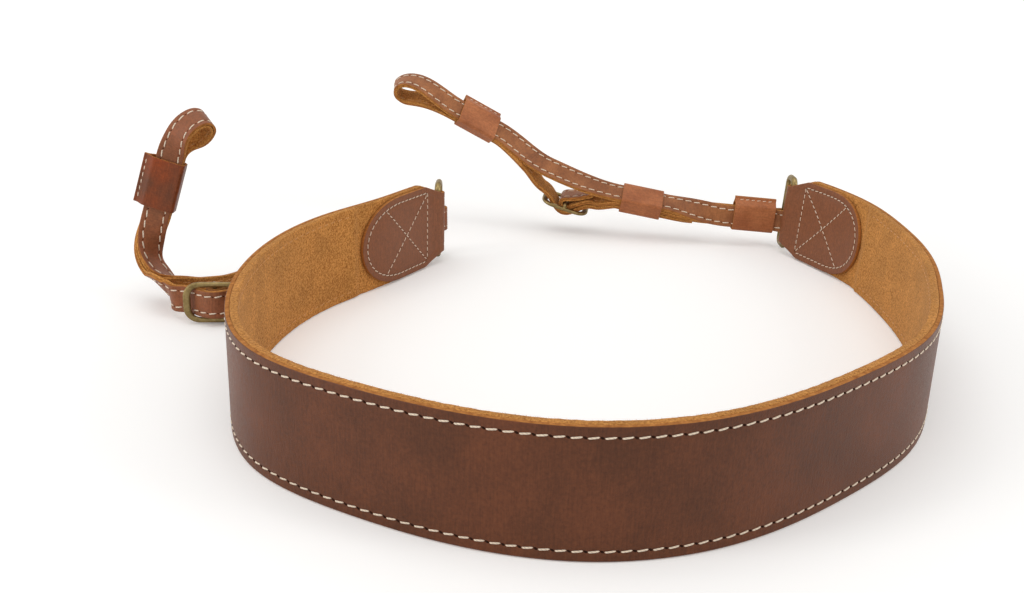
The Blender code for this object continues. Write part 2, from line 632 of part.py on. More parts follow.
def build_keeper(name, frame, lowest, highest, fin, finish):
    """A leather band round the straps, from its frame and the layers that it holds.

    With a fin, its two ends meet and are sewn together along the strap's edge.
    """
    place, run, face, width, half = frame
    inner_edge = STRAP_WIDTH / 2 + GAP
    edge = inner_edge + KEEPER_WALL
    low, high = lowest - GAP - KEEPER_WALL, highest + GAP + KEEPER_WALL
    middle, half_depth = (low + high) / 2, (high - low) / 2
    outline, normal = rounded_box(edge, half_depth, KEEPER_CORNER, 4)
    outline[:, 1] += middle
    if fin:
        shoulder = edge + 1.2 * MM
        point = edge + KEEPER_FIN
        back = outline[(normal[:, 0] < 0.1)]
        front_in = [(edge - 0.4 * MM, high), (shoulder + 1.2 * MM, KEEPER_WALL), (point, KEEPER_WALL)]
        front_out = [(point, -KEEPER_WALL), (shoulder + 1.2 * MM, -KEEPER_WALL), (edge - 0.4 * MM, low)]
        outline = np.vstack([front_in[::-1], back, front_out[::-1]])
    ends = [place + run * reach + outline[:, :1] * width + outline[:, 1:] * face
            for reach in (-KEEPER_LENGTH / 2, KEEPER_LENGTH / 2)]
    count = len(outline)
    faces = [tuple(range(count)), tuple(range(2 * count - 1, count - 1, -1))]
    faces += [(i, (i + 1) % count, count + (i + 1) % count, count + i) for i in range(count)]
    body = piece(name, np.vstack(ends), faces, finish["keeper"], pivot=place, smooth_angle=35)
    hole = np.array([(-inner_edge, lowest - GAP), (inner_edge, lowest - GAP),
                     (inner_edge, highest + GAP), (-inner_edge, highest + GAP)])
    ends = [place + run * reach + hole[:, :1] * width + hole[:, 1:] * face
            for reach in (-KEEPER_LENGTH, KEEPER_LENGTH)]
    faces = [(0, 1, 2, 3), (7, 6, 5, 4)] + [(i, (i + 1) % 4, 4 + (i + 1) % 4, 4 + i) for i in range(4)]
    slot = piece(f"{name}_slot", np.vstack(ends), faces, finish["keeper"], pivot=place)
    cut_or_join(body, slot, "DIFFERENCE")


def side_spines(side, ring):
    """The frames of one side, and the spines of its main leg and of its leg by the buckle."""
    setup = SIDES[side]
    frames = strap_frames(setup, ring)
    main = {name: frame for name, frame in frames.items() if name not in ("buckle", "drop")}
    return frames, strap_spine(main, setup["hand"]), strap_spine(lower_frames(frames), setup["hand"])


def build_side(side, pad, bar, height, finish):
    """One ring, narrow strap, buckle and three keepers."""
    ring = build_ring(side, pad, bar, height, finish)
    frames, main, lower = side_spines(side, ring)
    build_strap(side, main, lower, finish)
    build_buckle(side, frames["buckle"], finish)
    one = GAP / 2 + STRAP_THICKNESS
    build_keeper(f"keeper_{side}_end", frames["end_keeper"], -one, one, True, finish)
    build_keeper(f"keeper_{side}_middle", frames["middle_keeper"], -one - STRAP_PITCH, one, False, finish)
    build_keeper(f"keeper_{side}_lug", frames["lug_keeper"], -one, one, True, finish)


def centre_on_floor():
    """Move everything so that the middle of the whole box's foot is the origin."""
    bpy.context.view_layer.update()
    made = [item for item in bpy.data.objects if item.type == "MESH" and not item.hide_render]
    corners = np.array([item.matrix_world @ Vector(vert.co) for item in made for vert in item.data.vertices])
    low, high = corners.min(axis=0), corners.max(axis=0)
    shift = Vector((-(low[0] + high[0]) / 2, -(low[1] + high[1]) / 2, -low[2]))
    for item in bpy.data.objects:
        item.location += shift


def main():
    """Build the whole strap."""
    for item in list(bpy.data.objects):
        bpy.data.objects.remove(item, do_unlink=True)
    finish = {
        "grain": material("grain_leather", GRAIN_BROWN, 0.45),
        "strap": material("strap_leather", STRAP_BROWN, 0.5),
        "keeper": material("keeper_leather", KEEPER_BROWN, 0.5),
        "suede": material("suede", SUEDE_TAN, 0.95),
        "brass": material("antique_brass", BRASS, 0.4, 0.9),
    }
    pad, bars, height = build_pad(finish)
    build_side("left", pad, bars[0], height, finish)
    build_side("right", pad, bars[1], height, finish)
    centre_on_floor()


if __name__ == "__main__":
    main()
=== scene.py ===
"""Looks of the leather camera strap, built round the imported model.

Every piece of leather is a strip: a drawn side view, laid along a line in space, with a
rounded edge all the way round. The sewing is real thread laid on the strips.
"""

import json
import math

import bmesh
import bpy
import numpy as np
from bpy.props import FloatProperty, FloatVectorProperty, PointerProperty
from mathutils import Matrix, Vector


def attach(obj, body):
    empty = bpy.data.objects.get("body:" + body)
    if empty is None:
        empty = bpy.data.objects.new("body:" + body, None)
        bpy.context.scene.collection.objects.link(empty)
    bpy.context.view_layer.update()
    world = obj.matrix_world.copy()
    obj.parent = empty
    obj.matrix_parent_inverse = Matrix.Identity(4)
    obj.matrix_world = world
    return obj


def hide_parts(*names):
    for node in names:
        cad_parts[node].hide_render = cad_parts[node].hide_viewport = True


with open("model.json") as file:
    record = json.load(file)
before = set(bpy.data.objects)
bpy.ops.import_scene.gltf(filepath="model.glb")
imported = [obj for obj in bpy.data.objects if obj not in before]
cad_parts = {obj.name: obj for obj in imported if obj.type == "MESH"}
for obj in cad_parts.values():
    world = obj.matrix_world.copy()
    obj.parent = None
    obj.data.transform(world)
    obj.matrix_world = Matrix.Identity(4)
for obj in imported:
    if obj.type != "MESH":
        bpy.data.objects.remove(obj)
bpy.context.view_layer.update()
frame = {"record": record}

bl_info = {
    "name": "Leather camera strap",
    "version": (1, 0, 0),
    "blender": (4, 5, 0),
    "location": "View3D > Sidebar > Strap",
    "description": "Builds the strap's leather, suede, sewing and brass, and the stage that it stands on",
    "category": "Object",
}

MM = 0.001

# Sizes that the solids have, repeated here so that each surface lies on its solid
GAP = 0.3 * MM
PAD_WIDTH = 40.0 * MM
PAD_LEATHER = 1.5 * MM
PAD_SUEDE = 1.4 * MM
TAB_LENGTH = 59.0 * MM
TAB_MARGIN = 0.6 * MM
TAB_ROUNDING = 28.0 * MM
NECK_WIDTH = 29.0 * MM
NECK_LENGTH = 14.0 * MM
SUEDE_SETBACK = 9.0 * MM
RING_BAR = 3.0 * MM
RING_REACH = 11.0 * MM
RING_CORNER = 3.0 * MM
RING_SIDE_GAP = 1.0 * MM
BUCKLE_LENGTH = 25.0 * MM
BUCKLE_BAR_WIDTH = 2.2 * MM
BUCKLE_END_WIDTH = 3.0 * MM
BUCKLE_BAR_DEPTH = 1.8 * MM
BUCKLE_CORNER = 5.0 * MM
BUCKLE_SIDE_GAP = 0.7 * MM
BUCKLE_CENTRE_BAR = 1.8 * MM
BUCKLE_CENTRE_RISE = 2.2 * MM
BUCKLE_DROP = 7.0 * MM
BUCKLE_SLACK = 0.9 * MM
# Angle in degrees between the strap and the buckle's plane where it goes over the centre bar
BUCKLE_RISE = 30.0
STRAP_WIDTH = 11.2 * MM
STRAP_LAYER = 0.95 * MM
KEEPER_LENGTH = 21.0 * MM
KEEPER_WALL = 0.9 * MM
KEEPER_CORNER = 1.5 * MM
KEEPER_FIN = 3.8 * MM
FLAP_LENGTH = 12.5 * MM
TAIL_LENGTH = 17.0 * MM
LOOP_RADIUS = 5.2 * MM
RING_TO_KEEPER = 15.5 * MM

# Values that follow from them
PAD_FACE = (PAD_LEATHER + GAP + PAD_SUEDE) / 2
STRAP_THICKNESS = 2 * STRAP_LAYER + GAP
STRAP_PITCH = STRAP_THICKNESS + GAP
FOLD_RADIUS = RING_BAR / 2 + GAP + PAD_LEATHER / 2
WRAP_RADIUS = RING_BAR / 2 + GAP + STRAP_THICKNESS / 2
BAR_WRAP = BUCKLE_CENTRE_BAR / 2 + 1.8 * GAP + STRAP_THICKNESS / 2

# Middle line of the pad's foot, seen from above, in the frame of the viewpoint: the
# viewpoint stands over its origin and looks along +Y
PAD_PLAN = np.array([
    (-35.5, 518.5), (-44.0, 505.0), (-60.5, 476.0), (-76.5, 452.0), (-88.5, 425.0),
    (-95.0, 388.0), (-91.5, 341.0), (-76.5, 305.5), (-43.0, 279.6), (-8.0, 264.2),
    (24.0, 259.8), (57.3, 267.8), (101.0, 298.5), (131.2, 331.3), (151.6, 379.2),
    (161.2, 424.0), (162.0, 462.0), (157.0, 502.5), (148.0, 526.5), (136.6, 551.0),
]) * MM
PAD_LEAN = np.array([0, 0, 0, 0, 0, 0, 0, 0, 0, 0, 0, 0, 0, 0, 0, 1.0, 2.5, 4.0, 5.5, 4.0])

# How each narrow strap lies: place, heading, climb, tilt and half the straight length
SIDES = {
    "right": {
        "hand": 1.0,
        "ring": 90.0,
        "start": (13.6, 180.0, 3.6, 1.7),
        "stations": {
            "middle_keeper": ((65.5, 563.0, 21.2), 175.0, 9.0, 60.0, 12.0),
            "main": ((19.7, 568.5, 33.6), 174.0, 22.0, 46.0, 3.0),
            "buckle": ((26.7, 574.0, 15.3), 174.0, 16.0, 80.0, 12.6),
            "drop": ((7.5, 571.5, 36.5), 180.0, 46.0, 56.0, 0.0),
            "lug_keeper": ((-20.5, 575.0, 57.0), 192.0, 29.0, 38.0, 12.0),
            "tip": ((-63.0, 580.0, 70.5), 178.0, -20.0, 72.0, 0.0),
        },
    },
    "left": {
        "hand": -1.0,
        "ring": 90.0,
        "start": (18.5, 200.0, -1.0, 0.0),
        "stations": {
            "middle_keeper": ((-91.0, 482.0, 11.5), 228.0, -3.0, -4.0, 12.0),
            "main": ((-127.0, 445.5, 6.6), 200.0, 0.0, -6.0, 3.0),
            "buckle": ((-119.8, 424.5, 9.0), 186.0, 0.0, -2.0, 14.5),
            "drop": ((-141.5, 436.0, 11.5), 156.0, 16.0, 38.0, 0.0),
            "corner": ((-151.7, 449.5, 14.5), 150.0, 42.0, 78.0, 0.0),
            "lug_keeper": ((-145.8, 453.5, 50.0), 12.0, 73.0, 10.0, 12.0),
            "tip": ((-127.0, 456.5, 77.0), 23.0, 35.0, 60.0, 0.0),
        },
    },
}

# Viewpoint, worked out from the pad's two edges: height, downward tilt, roll and the
# focal length in pixels of a picture 1024 wide
VIEW_HEIGHT = 166.5 * MM
VIEW_TILT = math.radians(19.6)
VIEW_ROLL = math.radians(1.74)
VIEW_FOCAL = 1122.0
PICTURE_WIDTH = 1024.0
SENSOR_WIDTH = 36.0

# Spacing of the cross-sections, and the turn in radians from which a stretch counts as a fold
SPINE_STEP = 0.4 * MM
PAD_ROW_STEP = 1.6 * MM
PAD_FOLD_STEP = 0.45 * MM
STRAP_ROW_STEP = 1.2 * MM
STRAP_FOLD_STEP = 0.4 * MM
KEEPER_ROW_STEP = 0.3 * MM
SEAM_ROW_STEP = 0.4 * MM
FOLD_TURN = 0.6
END_ROWS = np.array([0.0, 0.03, 0.08, 0.15, 0.25, 0.4, 0.6, 0.9]) * MM
NOSE_ROWS = 30
NOSE_REACH = 12.0 * MM

# Columns across a strip: near its edge, beside each seam, and how far in the even ones begin
EDGE_INSETS = np.array([0.0, 0.02, 0.06, 0.13, 0.23, 0.36, 0.55, 0.85]) * MM
SEAM_INSETS = np.array([-0.8, -0.3, 0.0, 0.3, 0.8]) * MM
INNER_INSET = 1.2 * MM
INNER_COLUMNS = 5

# Sewn layers are pressed together: half the gap left there, and the share of the edge
# rounding that the pressed faces keep
PRESSED = 0.05 * MM
HIDDEN_ROUNDING = 0.4

# Waves of a cut edge, each with its length over 2 pi and its phase, and the power that keeps
# them to the edge
RAGGED_WAVES = ((0.9 * MM, 0.0), (0.37 * MM, 1.3), (2.3 * MM, 0.4))
RAGGED_POWER = 12
GROOVE_WIDTH = 0.45 * MM

# Loose fibres of the nap: how many, and the radius of a fibre's foot
FIBRE_COUNT = 9000
FIBRE_FOOT = 0.045 * MM

# Sewing on the tabs, measured from the ring's bar and from the tab's edge
TAB_SEAM_START = 11.5 * MM
TAB_SEAM_INSET = 2.9 * MM
TAB_SEAM_NOSE = 3.0 * MM
TAB_CROSS_END = 43.6 * MM
EDGE_SEAM_START = 34.0 * MM
LINING_SEAM_START = TAB_LENGTH + 5.0 * MM
FIN_SEAM_INSET = 1.5 * MM
FIN_SEAM_MARGIN = 1.2 * MM
SEAM_END_MARGIN = 1.6 * MM

# Points on a tab's round nose, on the seam that closes its D, and on a straight seam
NOSE_POINTS = 13
CLOSING_POINTS = 40
STRAIGHT_POINTS = 60

# One stitch, in thread diameters: how high it bows, how deep its ends dip, how far it slants,
# and as shares of its round section: how flat it lies and how much its ends narrow
STITCH_BOW = 0.28
STITCH_DIP = 0.3
STITCH_SLANT = 0.36
STITCH_FLATNESS = 0.72
STITCH_TAPER = 0.5
STITCH_ROWS = 7
STITCH_SIDES = 7

# One awl hole, in thread diameters: half its length, width and depth, and how far it stands
# proud; its long axis is turned from the seam by this cosine and sine
HOLE_HALVES = (1.2, 0.7, 0.2)
HOLE_PROUD = 0.04
HOLE_TURN = (0.82, 0.57)
HOLE_ROWS = 4
HOLE_SIDES = 8

# The narrow strap's course: half its straight length at the ring, in millimetres, then from the
# ring, the keepers and the buckle to where its legs run level, and its tip's loop in loop radii
RING_STRAIGHT = 3.0
LEVEL_FROM_RING = 5.5 * MM
LEVEL_FROM_KEEPER = 1.0 * MM
LEVEL_FROM_BUCKLE = 17.0 * MM
LOOP_REACH = 1.6

# A fin's knee and shoulder, the half gap of its sewn walls, and the roundings of its tip and knee
FIN_KNEE = 2.1 * MM
FIN_SHOULDER = 0.25 * MM
FIN_HALF_GAP = 0.03 * MM
FIN_ROUNDINGS = (1.0 * MM, 0.9 * MM)

# Sides of the brass sections, and points on each of their rounded corners
BAR_SIDES = 28
BRIDGE_SIDES = 20
RING_CORNER_POINTS = 12
BUCKLE_CORNER_POINTS = 22

# Lamps: name, the setting that gives its power, size, place and the point that it faces
LAMPS = (
    ("overhead_lamp", "key", (1.4, 1.0), (-0.1, -0.15, 1.25), (0.0, 0.0, 0.0)),
    ("left_lamp", "side", (0.3, 0.9), (-0.93, -0.45, 0.42), (0.0, -0.05, 0.03)),
    ("right_lamp", "side", (0.3, 0.9), (1.2, -0.4, 0.55), (0.0, -0.05, 0.03)),
)


def linear(code):
    """Linear colour of an sRGB hex value, with full alpha.

    The sRGB curve: up to 0.04045 the value / 12.92, above it ((value + 0.055) / 1.055)^2.4.
    """
    parts = np.array([int(code[place:place + 2], 16) / 255 for place in (0, 2, 4)])
    light = np.where(parts <= 0.04045, parts / 12.92, ((parts + 0.055) / 1.055) ** 2.4)
    return (*light.tolist(), 1.0)


def distance(name, description, default):
    """A setting that is a length."""
    return FloatProperty(name=name, description=description, default=default, unit="LENGTH")


def shade(name, description, code):
    """A setting that is a colour, given as an sRGB hex value."""
    return FloatVectorProperty(name=name, description=description, default=linear(code), size=4,
                               subtype="COLOR")


class StrapSewing(bpy.types.PropertyGroup):
    """Sizes of the sewing and of the leather's rounded edges."""

    pitch: distance("Stitch pitch", "From one stitch to the next on the long seams", 4.44 * MM)
    length: distance("Stitch length", "Length of the thread that shows", 3.4 * MM)
    thread: distance("Thread", "Diameter of the waxed thread", 0.6 * MM)
    tab_pitch: distance("Tab stitch pitch", "From one stitch to the next on the tabs", 2.9 * MM)
    tab_length: distance("Tab stitch length", "Length of the tab thread that shows", 2.2 * MM)
    tab_thread: distance("Tab thread", "Diameter of the thread on the tabs", 0.42 * MM)
    pad_inset: distance("Pad seam", "From the pad's edge to its seam", 3.2 * MM)
    strap_inset: distance("Strap seam", "From a narrow strap's edge to its seam", 2.1 * MM)
    groove: distance("Seam groove", "How deep the thread pulls the leather in", 0.18 * MM)
    nap: distance("Nap", "How far the lining's nap stands up where nothing presses it", 1.1 * MM)
    rounding: distance("Edge rounding", "Radius of the leather's trimmed edges", 0.5 * MM)


class StrapColours(bpy.types.PropertyGroup):
    """Colours of the leathers, the thread and the brass."""

    pad: shade("Pad leather", "Oiled brown of the shoulder pad", "693A21")
    pad_dark: shade("Pad leather, dark", "Where the oil lies thicker", "5A321C")
    # The tab colour is painted light: the folded tabs are coloured paler for the light that falls on them
    pad_pale: shade("Tab leather, painted light", "Where the leather was folded and rubbed paler", "835033")
    strap: shade("Strap leather", "Lighter brown of the narrow straps", "A2683F")
    strap_dark: shade("Strap leather, dark", "Handled parts of the narrow straps", "86512F")
    # The left strap's colour is painted shade: a darker, redder copy of the strap leather for the shade on
    # that side
    strap_painted_shade: shade("Left strap leather", "Redder brown of the left strap", "915434")
    keeper: shade("Keeper leather", "Reddish brown of the keepers", "B26E44")
    keeper_dark: shade("Keeper leather, dark", "Burnished parts of the keepers", "985833")
    # The left lug keeper's colour is painted shade: a deeper red brown copy of the keeper leather for the
    # shade that falls on it
    keeper_shaded: shade("Keeper with painted shade", "Deeper red brown of the left lug keeper", "8C3F18")
    suede: shade("Suede", "Ochre nap of the lining", "D2944E")
    suede_dark: shade("Suede, dark", "Nap that is brushed the other way", "8C5321")
    edge: shade("Cut edge", "Ochre fibres of the trimmed edges", "B87A3C")
    edge_dark: shade("Cut edge, dark", "Shaded fibres of the trimmed edges", "8A5122")
    thread: shade("Thread", "Cream waxed thread", "EBD8C0")
    brass: shade("Brass", "Antique brass of rings and buckles", "A08B5E")
    brass_dark: shade("Brass, dark", "Brown patina in the brass", "75633F")


class StrapStage(bpy.types.PropertyGroup):
    """Light and floor round the strap."""

    sky: FloatProperty(name="Sky", description="Strength of the light from all round", default=0.62)
    key: FloatProperty(name="Key lamp", description="Power of the wide lamp overhead", default=5.0,
                       unit="POWER")
    side: FloatProperty(name="Side lamps", description="Power of each tall lamp at the side", default=3.2,
                        unit="POWER")
    floor: shade("Floor", "Paper that the strap stands on", "F6F5F3")


def unit(vectors):
    """Each row divided by its length."""
    vectors = np.asarray(vectors, dtype=float)
    return vectors / np.linalg.norm(vectors, axis=-1, keepdims=True)


def arc_lengths(line):
    """Distance along a line of points, from its first point."""
    return np.concatenate([[0.0], np.cumsum(np.linalg.norm(np.diff(line, axis=0), axis=1))])


def read_off(at, along, values):
    """The rows of values at the distances at, which may be a whole array of distances."""
    return np.stack([np.interp(at, along, values[:, axis]) for axis in range(values.shape[1])], axis=-1)


def smooth_line(points, step):
    """Natural cubic spline through the points by chord length, sampled evenly."""
    knots = arc_lengths(points)
    spans = np.diff(knots)
    count = len(points)
    slopes = np.diff(points, axis=0) / spans[:, None]
    system = np.eye(count)
    inner = np.arange(1, count - 1)
    system[inner, inner - 1] = spans[:-1]
    system[inner, inner] = 2 * (spans[:-1] + spans[1:])
    system[inner, inner + 1] = spans[1:]
    right_side = np.zeros_like(points)
    right_side[1:-1] = 6 * np.diff(slopes, axis=0)
    bends = np.linalg.solve(system, right_side)
    samples = np.linspace(0.0, knots[-1], int(knots[-1] / step) + 1)
    span = np.clip(np.searchsorted(knots, samples, side="right") - 1, 0, count - 2)
    width = spans[span][:, None]
    ahead = ((samples - knots[span]) / spans[span])[:, None]
    behind = 1.0 - ahead
    line = (behind * points[span] + ahead * points[span + 1]
            + ((behind ** 3 - behind) * bends[span] + (ahead ** 3 - ahead) * bends[span + 1])
            * width ** 2 / 6)
    return line, knots, samples


def spine_at(spine, along):
    """Place, face direction and width direction of a spine; beyond its ends it goes straight on."""
    along = np.asarray(along, dtype=float)
    inside = np.clip(along, 0.0, spine["along"][-1])
    place, face, width, ahead = [read_off(inside, spine["along"], spine[key])
                                 for key in ("place", "face", "width", "ahead")]
    return place + ahead * (along - inside)[..., None], face, width


def pad_spine():
    """The pad's foot line, with its outward faces and the direction that its wall rises in."""
    line, knots, samples = smooth_line(PAD_PLAN, SPINE_STEP)
    ahead = unit(np.gradient(line, axis=0))
    outward = np.stack([ahead[:, 1], -ahead[:, 0]], axis=1)
    middle = len(line) // 2
    if np.dot(outward[middle], line[middle] - PAD_PLAN.mean(axis=0)) < 0:
        outward = -outward
    lean = np.radians(np.interp(samples, knots, PAD_LEAN))[:, None]
    flat = np.zeros((len(line), 1))
    width = np.hstack([outward * np.sin(lean), np.cos(lean)])
    return dict(along=arc_lengths(line), place=np.hstack([line, flat]), face=np.hstack([outward, flat]),
                width=width, ahead=np.hstack([ahead, flat]))


def station_frame(station, hand):
    """Centre, run direction, face direction and width direction of one station."""
    place, heading, climb, tilt, half = station
    heading, climb, tilt = (math.radians(value) for value in (heading, climb, tilt))
    level = np.array([math.cos(heading), math.sin(heading), 0.0])
    up = np.array([0.0, 0.0, 1.0])
    run = math.cos(climb) * level + math.sin(climb) * up
    side = hand * np.cross(up, level)
    rise = math.cos(climb) * up - math.sin(climb) * level
    face = math.cos(tilt) * side + math.sin(tilt) * rise
    return np.array(place) * MM, run, face, hand * np.cross(run, face), half * MM


def angle_between(first, second):
    """Angle between two directions, in radians."""
    return math.acos(max(-1.0, min(1.0, float(np.dot(first, second)))))


def eased(share):
    """A share that leaves 0 and reaches 1 gently: 3 share^2 - 2 share^3."""
    return 3 * share ** 2 - 2 * share ** 3


def turned_between(first, second, share):
    """Directions that turn evenly from the first to the second as share goes from 0 to 1."""
    angle = angle_between(first, second)
    if angle < 1e-6:
        return np.repeat(first[None, :], len(share), axis=0)
    share = share[:, None]
    return (np.sin((1 - share) * angle) * first + np.sin(share * angle) * second) / math.sin(angle)


def strap_frames(side, ring):
    """Frames of one side's stations, from a point and the direction of its ring's outer bar."""
    height, heading, climb, tilt = side["start"]
    point, up = ring
    place = (point + up * (height * MM - point[2]) / up[2]) / MM
    frames = {"ring": station_frame((place, heading, climb, tilt, RING_STRAIGHT), side["hand"])}
    start, run, face, width = frames["ring"][:4]
    frames["end_keeper"] = (start + run * RING_TO_KEEPER, run, face, width, KEEPER_LENGTH / 2 + 1.5 * MM)
    for name, station in side["stations"].items():
        frames[name] = station_frame(station, side["hand"])
    return frames


def lower_frames(frames):
    """The frames of the leg that goes by the buckle, on the line that the buckle hangs from."""
    chosen = {name: spot for name, spot in frames.items() if name != "main"}
    centre, run, face, width, half = frames["buckle"]
    chosen["buckle"] = (centre + face * BUCKLE_DROP, run, face, width, half)
    return chosen


def pull_of(chord, turn):
    """Length of a cubic's leads that makes it as round as an arc: 2 chord tan(turn / 4) / sin(turn / 2)."""
    return chord if turn < 1e-3 else chord * 2 * math.tan(turn / 4) / math.sin(turn / 2)


def hermite(start, lead, end, next_lead, share):
    """Points and directions of the cubic from start to end that leaves along lead, arrives along next_lead.

    With s for the share: (2 s^3 - 3 s^2 + 1) start + (s^3 - 2 s^2 + s) lead
    + (3 s^2 - 2 s^3) end + (s^3 - s^2) next lead. The directions are its slopes.
    """
    points = ((2 * share ** 3 - 3 * share ** 2 + 1) * start + (share ** 3 - 2 * share ** 2 + share) * lead
              + eased(share) * end + (share ** 3 - share ** 2) * next_lead)
    slopes = ((6 * share ** 2 - 6 * share) * (start - end) + (3 * share ** 2 - 4 * share + 1) * lead
              + (3 * share ** 2 - 2 * share) * next_lead)
    return points, unit(slopes)


def strap_spine(frames, hand):
    """A line through the given frames: straight at each of them, a Hermite curve between them."""
    spots = list(frames.values())
    lines, aheads, widths = [], [], []
    for index, (place, run, _, width, half) in enumerate(spots):
        if half > 0:
            share = np.linspace(-half, half, max(2, int(2 * half / SPINE_STEP)))[:, None]
            lines.append(place + share * run)
            aheads.append(np.repeat(run[None, :], len(share), axis=0))
            widths.append(np.repeat(width[None, :], len(share), axis=0))
        if index + 1 == len(spots):
            break
        next_place, next_run, _, next_width, next_half = spots[index + 1]
        start, end = place + half * run, next_place - next_half * next_run
        pull = pull_of(np.linalg.norm(end - start), angle_between(run, next_run))
        share = np.linspace(0.0, 1.0, max(3, int(pull / SPINE_STEP)))[1:-1, None]
        curve, slopes = hermite(start, pull * run, end, pull * next_run, share)
        lines.append(curve)
        aheads.append(slopes)
        widths.append(turned_between(width, next_width, eased(share)[:, 0]))
    place, ahead, width = (np.vstack(rows) for rows in (lines, aheads, widths))
    along = arc_lengths(place)
    width = unit(width - ahead * np.sum(width * ahead, axis=1)[:, None])
    marks = {name: along[np.argmin(np.linalg.norm(place - spot[0], axis=1))] for name, spot in frames.items()}
    return dict(along=along, place=place, face=hand * np.cross(width, ahead), width=width, ahead=ahead,
                marks=marks)


def heading_of(degrees):
    """Unit direction in a side view, at an angle from the way along."""
    return np.array([math.cos(math.radians(degrees)), math.sin(math.radians(degrees))])


def flow(knots, step, fold_step):
    """A side view drawn through knots of (along, height, heading in degrees).

    Between two knots it is the cubic that leaves and arrives at their headings, as round
    as an arc where they turn. Returns the points and the left-hand normals.
    """
    points, directions = [], []
    for (a0, h0, d0), (a1, h1, d1) in zip(knots[:-1], knots[1:]):
        start, end = np.array([a0, h0]), np.array([a1, h1])
        chord = np.linalg.norm(end - start)
        turn = abs(math.radians((d1 - d0 + 180.0) % 360.0 - 180.0))
        pull = pull_of(chord, turn)
        count = max(1, math.ceil(chord / (fold_step if turn > FOLD_TURN else step)))
        share = (np.arange(count) / count)[:, None]
        curve, slopes = hermite(start, pull * heading_of(d0), end, pull * heading_of(d1), share)
        points.append(curve)
        directions.append(slopes)
    points.append(np.array([knots[-1][:2]]))
    directions = np.vstack(directions + [heading_of(knots[-1][2])])
    return np.vstack(points), np.stack([-directions[:, 1], directions[:, 0]], axis=1)


def laid(runs, offset):
    """Side views laid along their spines, at an offset from the drawn line."""
    places, widths = [], []
    for spine, points, normals in runs:
        drawn = points + normals * np.reshape(offset, (-1, 1))
        place, face, width = spine_at(spine, drawn[:, 0])
        places.append(place + face * drawn[:, 1:2])
        widths.append(width)
    return np.vstack(places), np.vstack(widths)


def rounded_box(half_a, half_b, corner, arc_points):
    """Outline of a rounded rectangle, anticlockwise, with its outward normals."""
    quarter = np.repeat(np.arange(4), arc_points)
    turn = np.tile(np.linspace(0.0, math.pi / 2, arc_points), 4) + quarter * math.pi / 2
    normals = np.stack([np.cos(turn), np.sin(turn)], axis=1)
    signs = np.array([(1, 1), (-1, 1), (-1, -1), (1, -1)])[quarter]
    return signs * (half_a - corner, half_b - corner) + corner * normals, normals


def pad_bars(spine):
    """Where the rings' bars stand along the pad, and the pad's heights at its outer face and tab."""
    reach = FOLD_RADIUS + PAD_LEATHER / 2
    outer = PAD_FACE - PAD_LEATHER / 2
    tab = -PAD_FACE - GAP - PAD_LEATHER / 2
    return (reach, spine["along"][-1] - reach), outer, tab


def neck_half(along, bars):
    """Half the height of the pad, which tapers straight to its neck at each bar."""
    share = np.clip(np.minimum(along - bars[0], bars[1] - along) / NECK_LENGTH, 0.0, 1.0)
    return (NECK_WIDTH + (PAD_WIDTH - NECK_WIDTH) * share) / 2


def free_of_tabs(along, bars):
    """How free the lining's nap is to stand up: 0 under the tabs, 1 from 4 mm beyond them."""
    beyond = np.minimum(along - bars[0], bars[1] - along) - TAB_LENGTH - 0.5 * MM
    return eased(np.clip(beyond / (4 * MM), 0.0, 1.0))


def nose_half(from_tip, inset=0.0):
    """Half the height of a tab near its round tip: a full oval of power 2.4, drawn in by inset."""
    nose = np.clip(1.0 - (from_tip - inset) / (TAB_ROUNDING - inset), 0.0, 1.0)
    return (PAD_WIDTH / 2 - TAB_MARGIN - inset) * np.sqrt(np.clip(1.0 - nose ** 2.4, 0.0, 1.0))


def ring_fold(side, pad):
    """Where a ring turns in the pad's fold, its two directions and the middle of its outer bar."""
    bars, outer, tab = pad_bars(pad)
    place, face, width = spine_at(pad, [bars[0] if side == "left" else bars[1]])
    fold = place[0] + face[0] * (outer + tab) / 2 + width[0] * PAD_WIDTH / 2
    heading = math.radians(SIDES[side]["ring"])
    reach = np.array([math.cos(heading), math.sin(heading), 0.0])
    reach = unit(reach - width[0] * np.dot(reach, width[0]))
    return fold, reach, width[0]


def from_plan():
    """The move from the viewpoint's frame to the model's, read from the left ring's joint."""
    joints = frame["record"]["behaviour"]["joints"]
    pivot = next(joint["pos_m"] for joint in joints if joint["name"] == "ring_left_in_fold")
    return np.array(pivot) - ring_fold("left", pad_spine())[0]


SHIFT = from_plan()


def mesh_object(name, points, faces, corner_uv, raw, finish, pale=None):
    """A smooth, closed mesh object at the origin, with its pattern map, cut-edge value and share of painted
    light.
    """
    mesh = bpy.data.meshes.new(name)
    mesh.from_pydata((points + SHIFT).tolist(), [], faces)
    pattern = mesh.uv_layers.new(name="pattern")
    pattern.data.foreach_set("uv", np.asarray(corner_uv, dtype=np.float32).ravel())
    # The pale value is the share of painted light at each point
    for key, amount in (("raw", raw), ("pale", np.zeros(len(points)) if pale is None else pale)):
        value = mesh.attributes.new(key, "FLOAT", "POINT")
        value.data.foreach_set("value", np.asarray(amount, dtype=np.float32).ravel())
    body = bmesh.new()
    body.from_mesh(mesh)
    bmesh.ops.remove_doubles(body, verts=body.verts, dist=1e-6)
    bmesh.ops.dissolve_degenerate(body, edges=body.edges, dist=1e-7)
    bmesh.ops.recalc_face_normals(body, faces=body.faces)
    if body.calc_volume(signed=True) < 0:
        bmesh.ops.reverse_faces(body, faces=body.faces)
    body.to_mesh(mesh)
    body.free()
    mesh.shade_smooth()
    mesh.materials.append(finish)
    made = bpy.data.objects.new(name, mesh)
    bpy.context.scene.collection.objects.link(made)
    return made


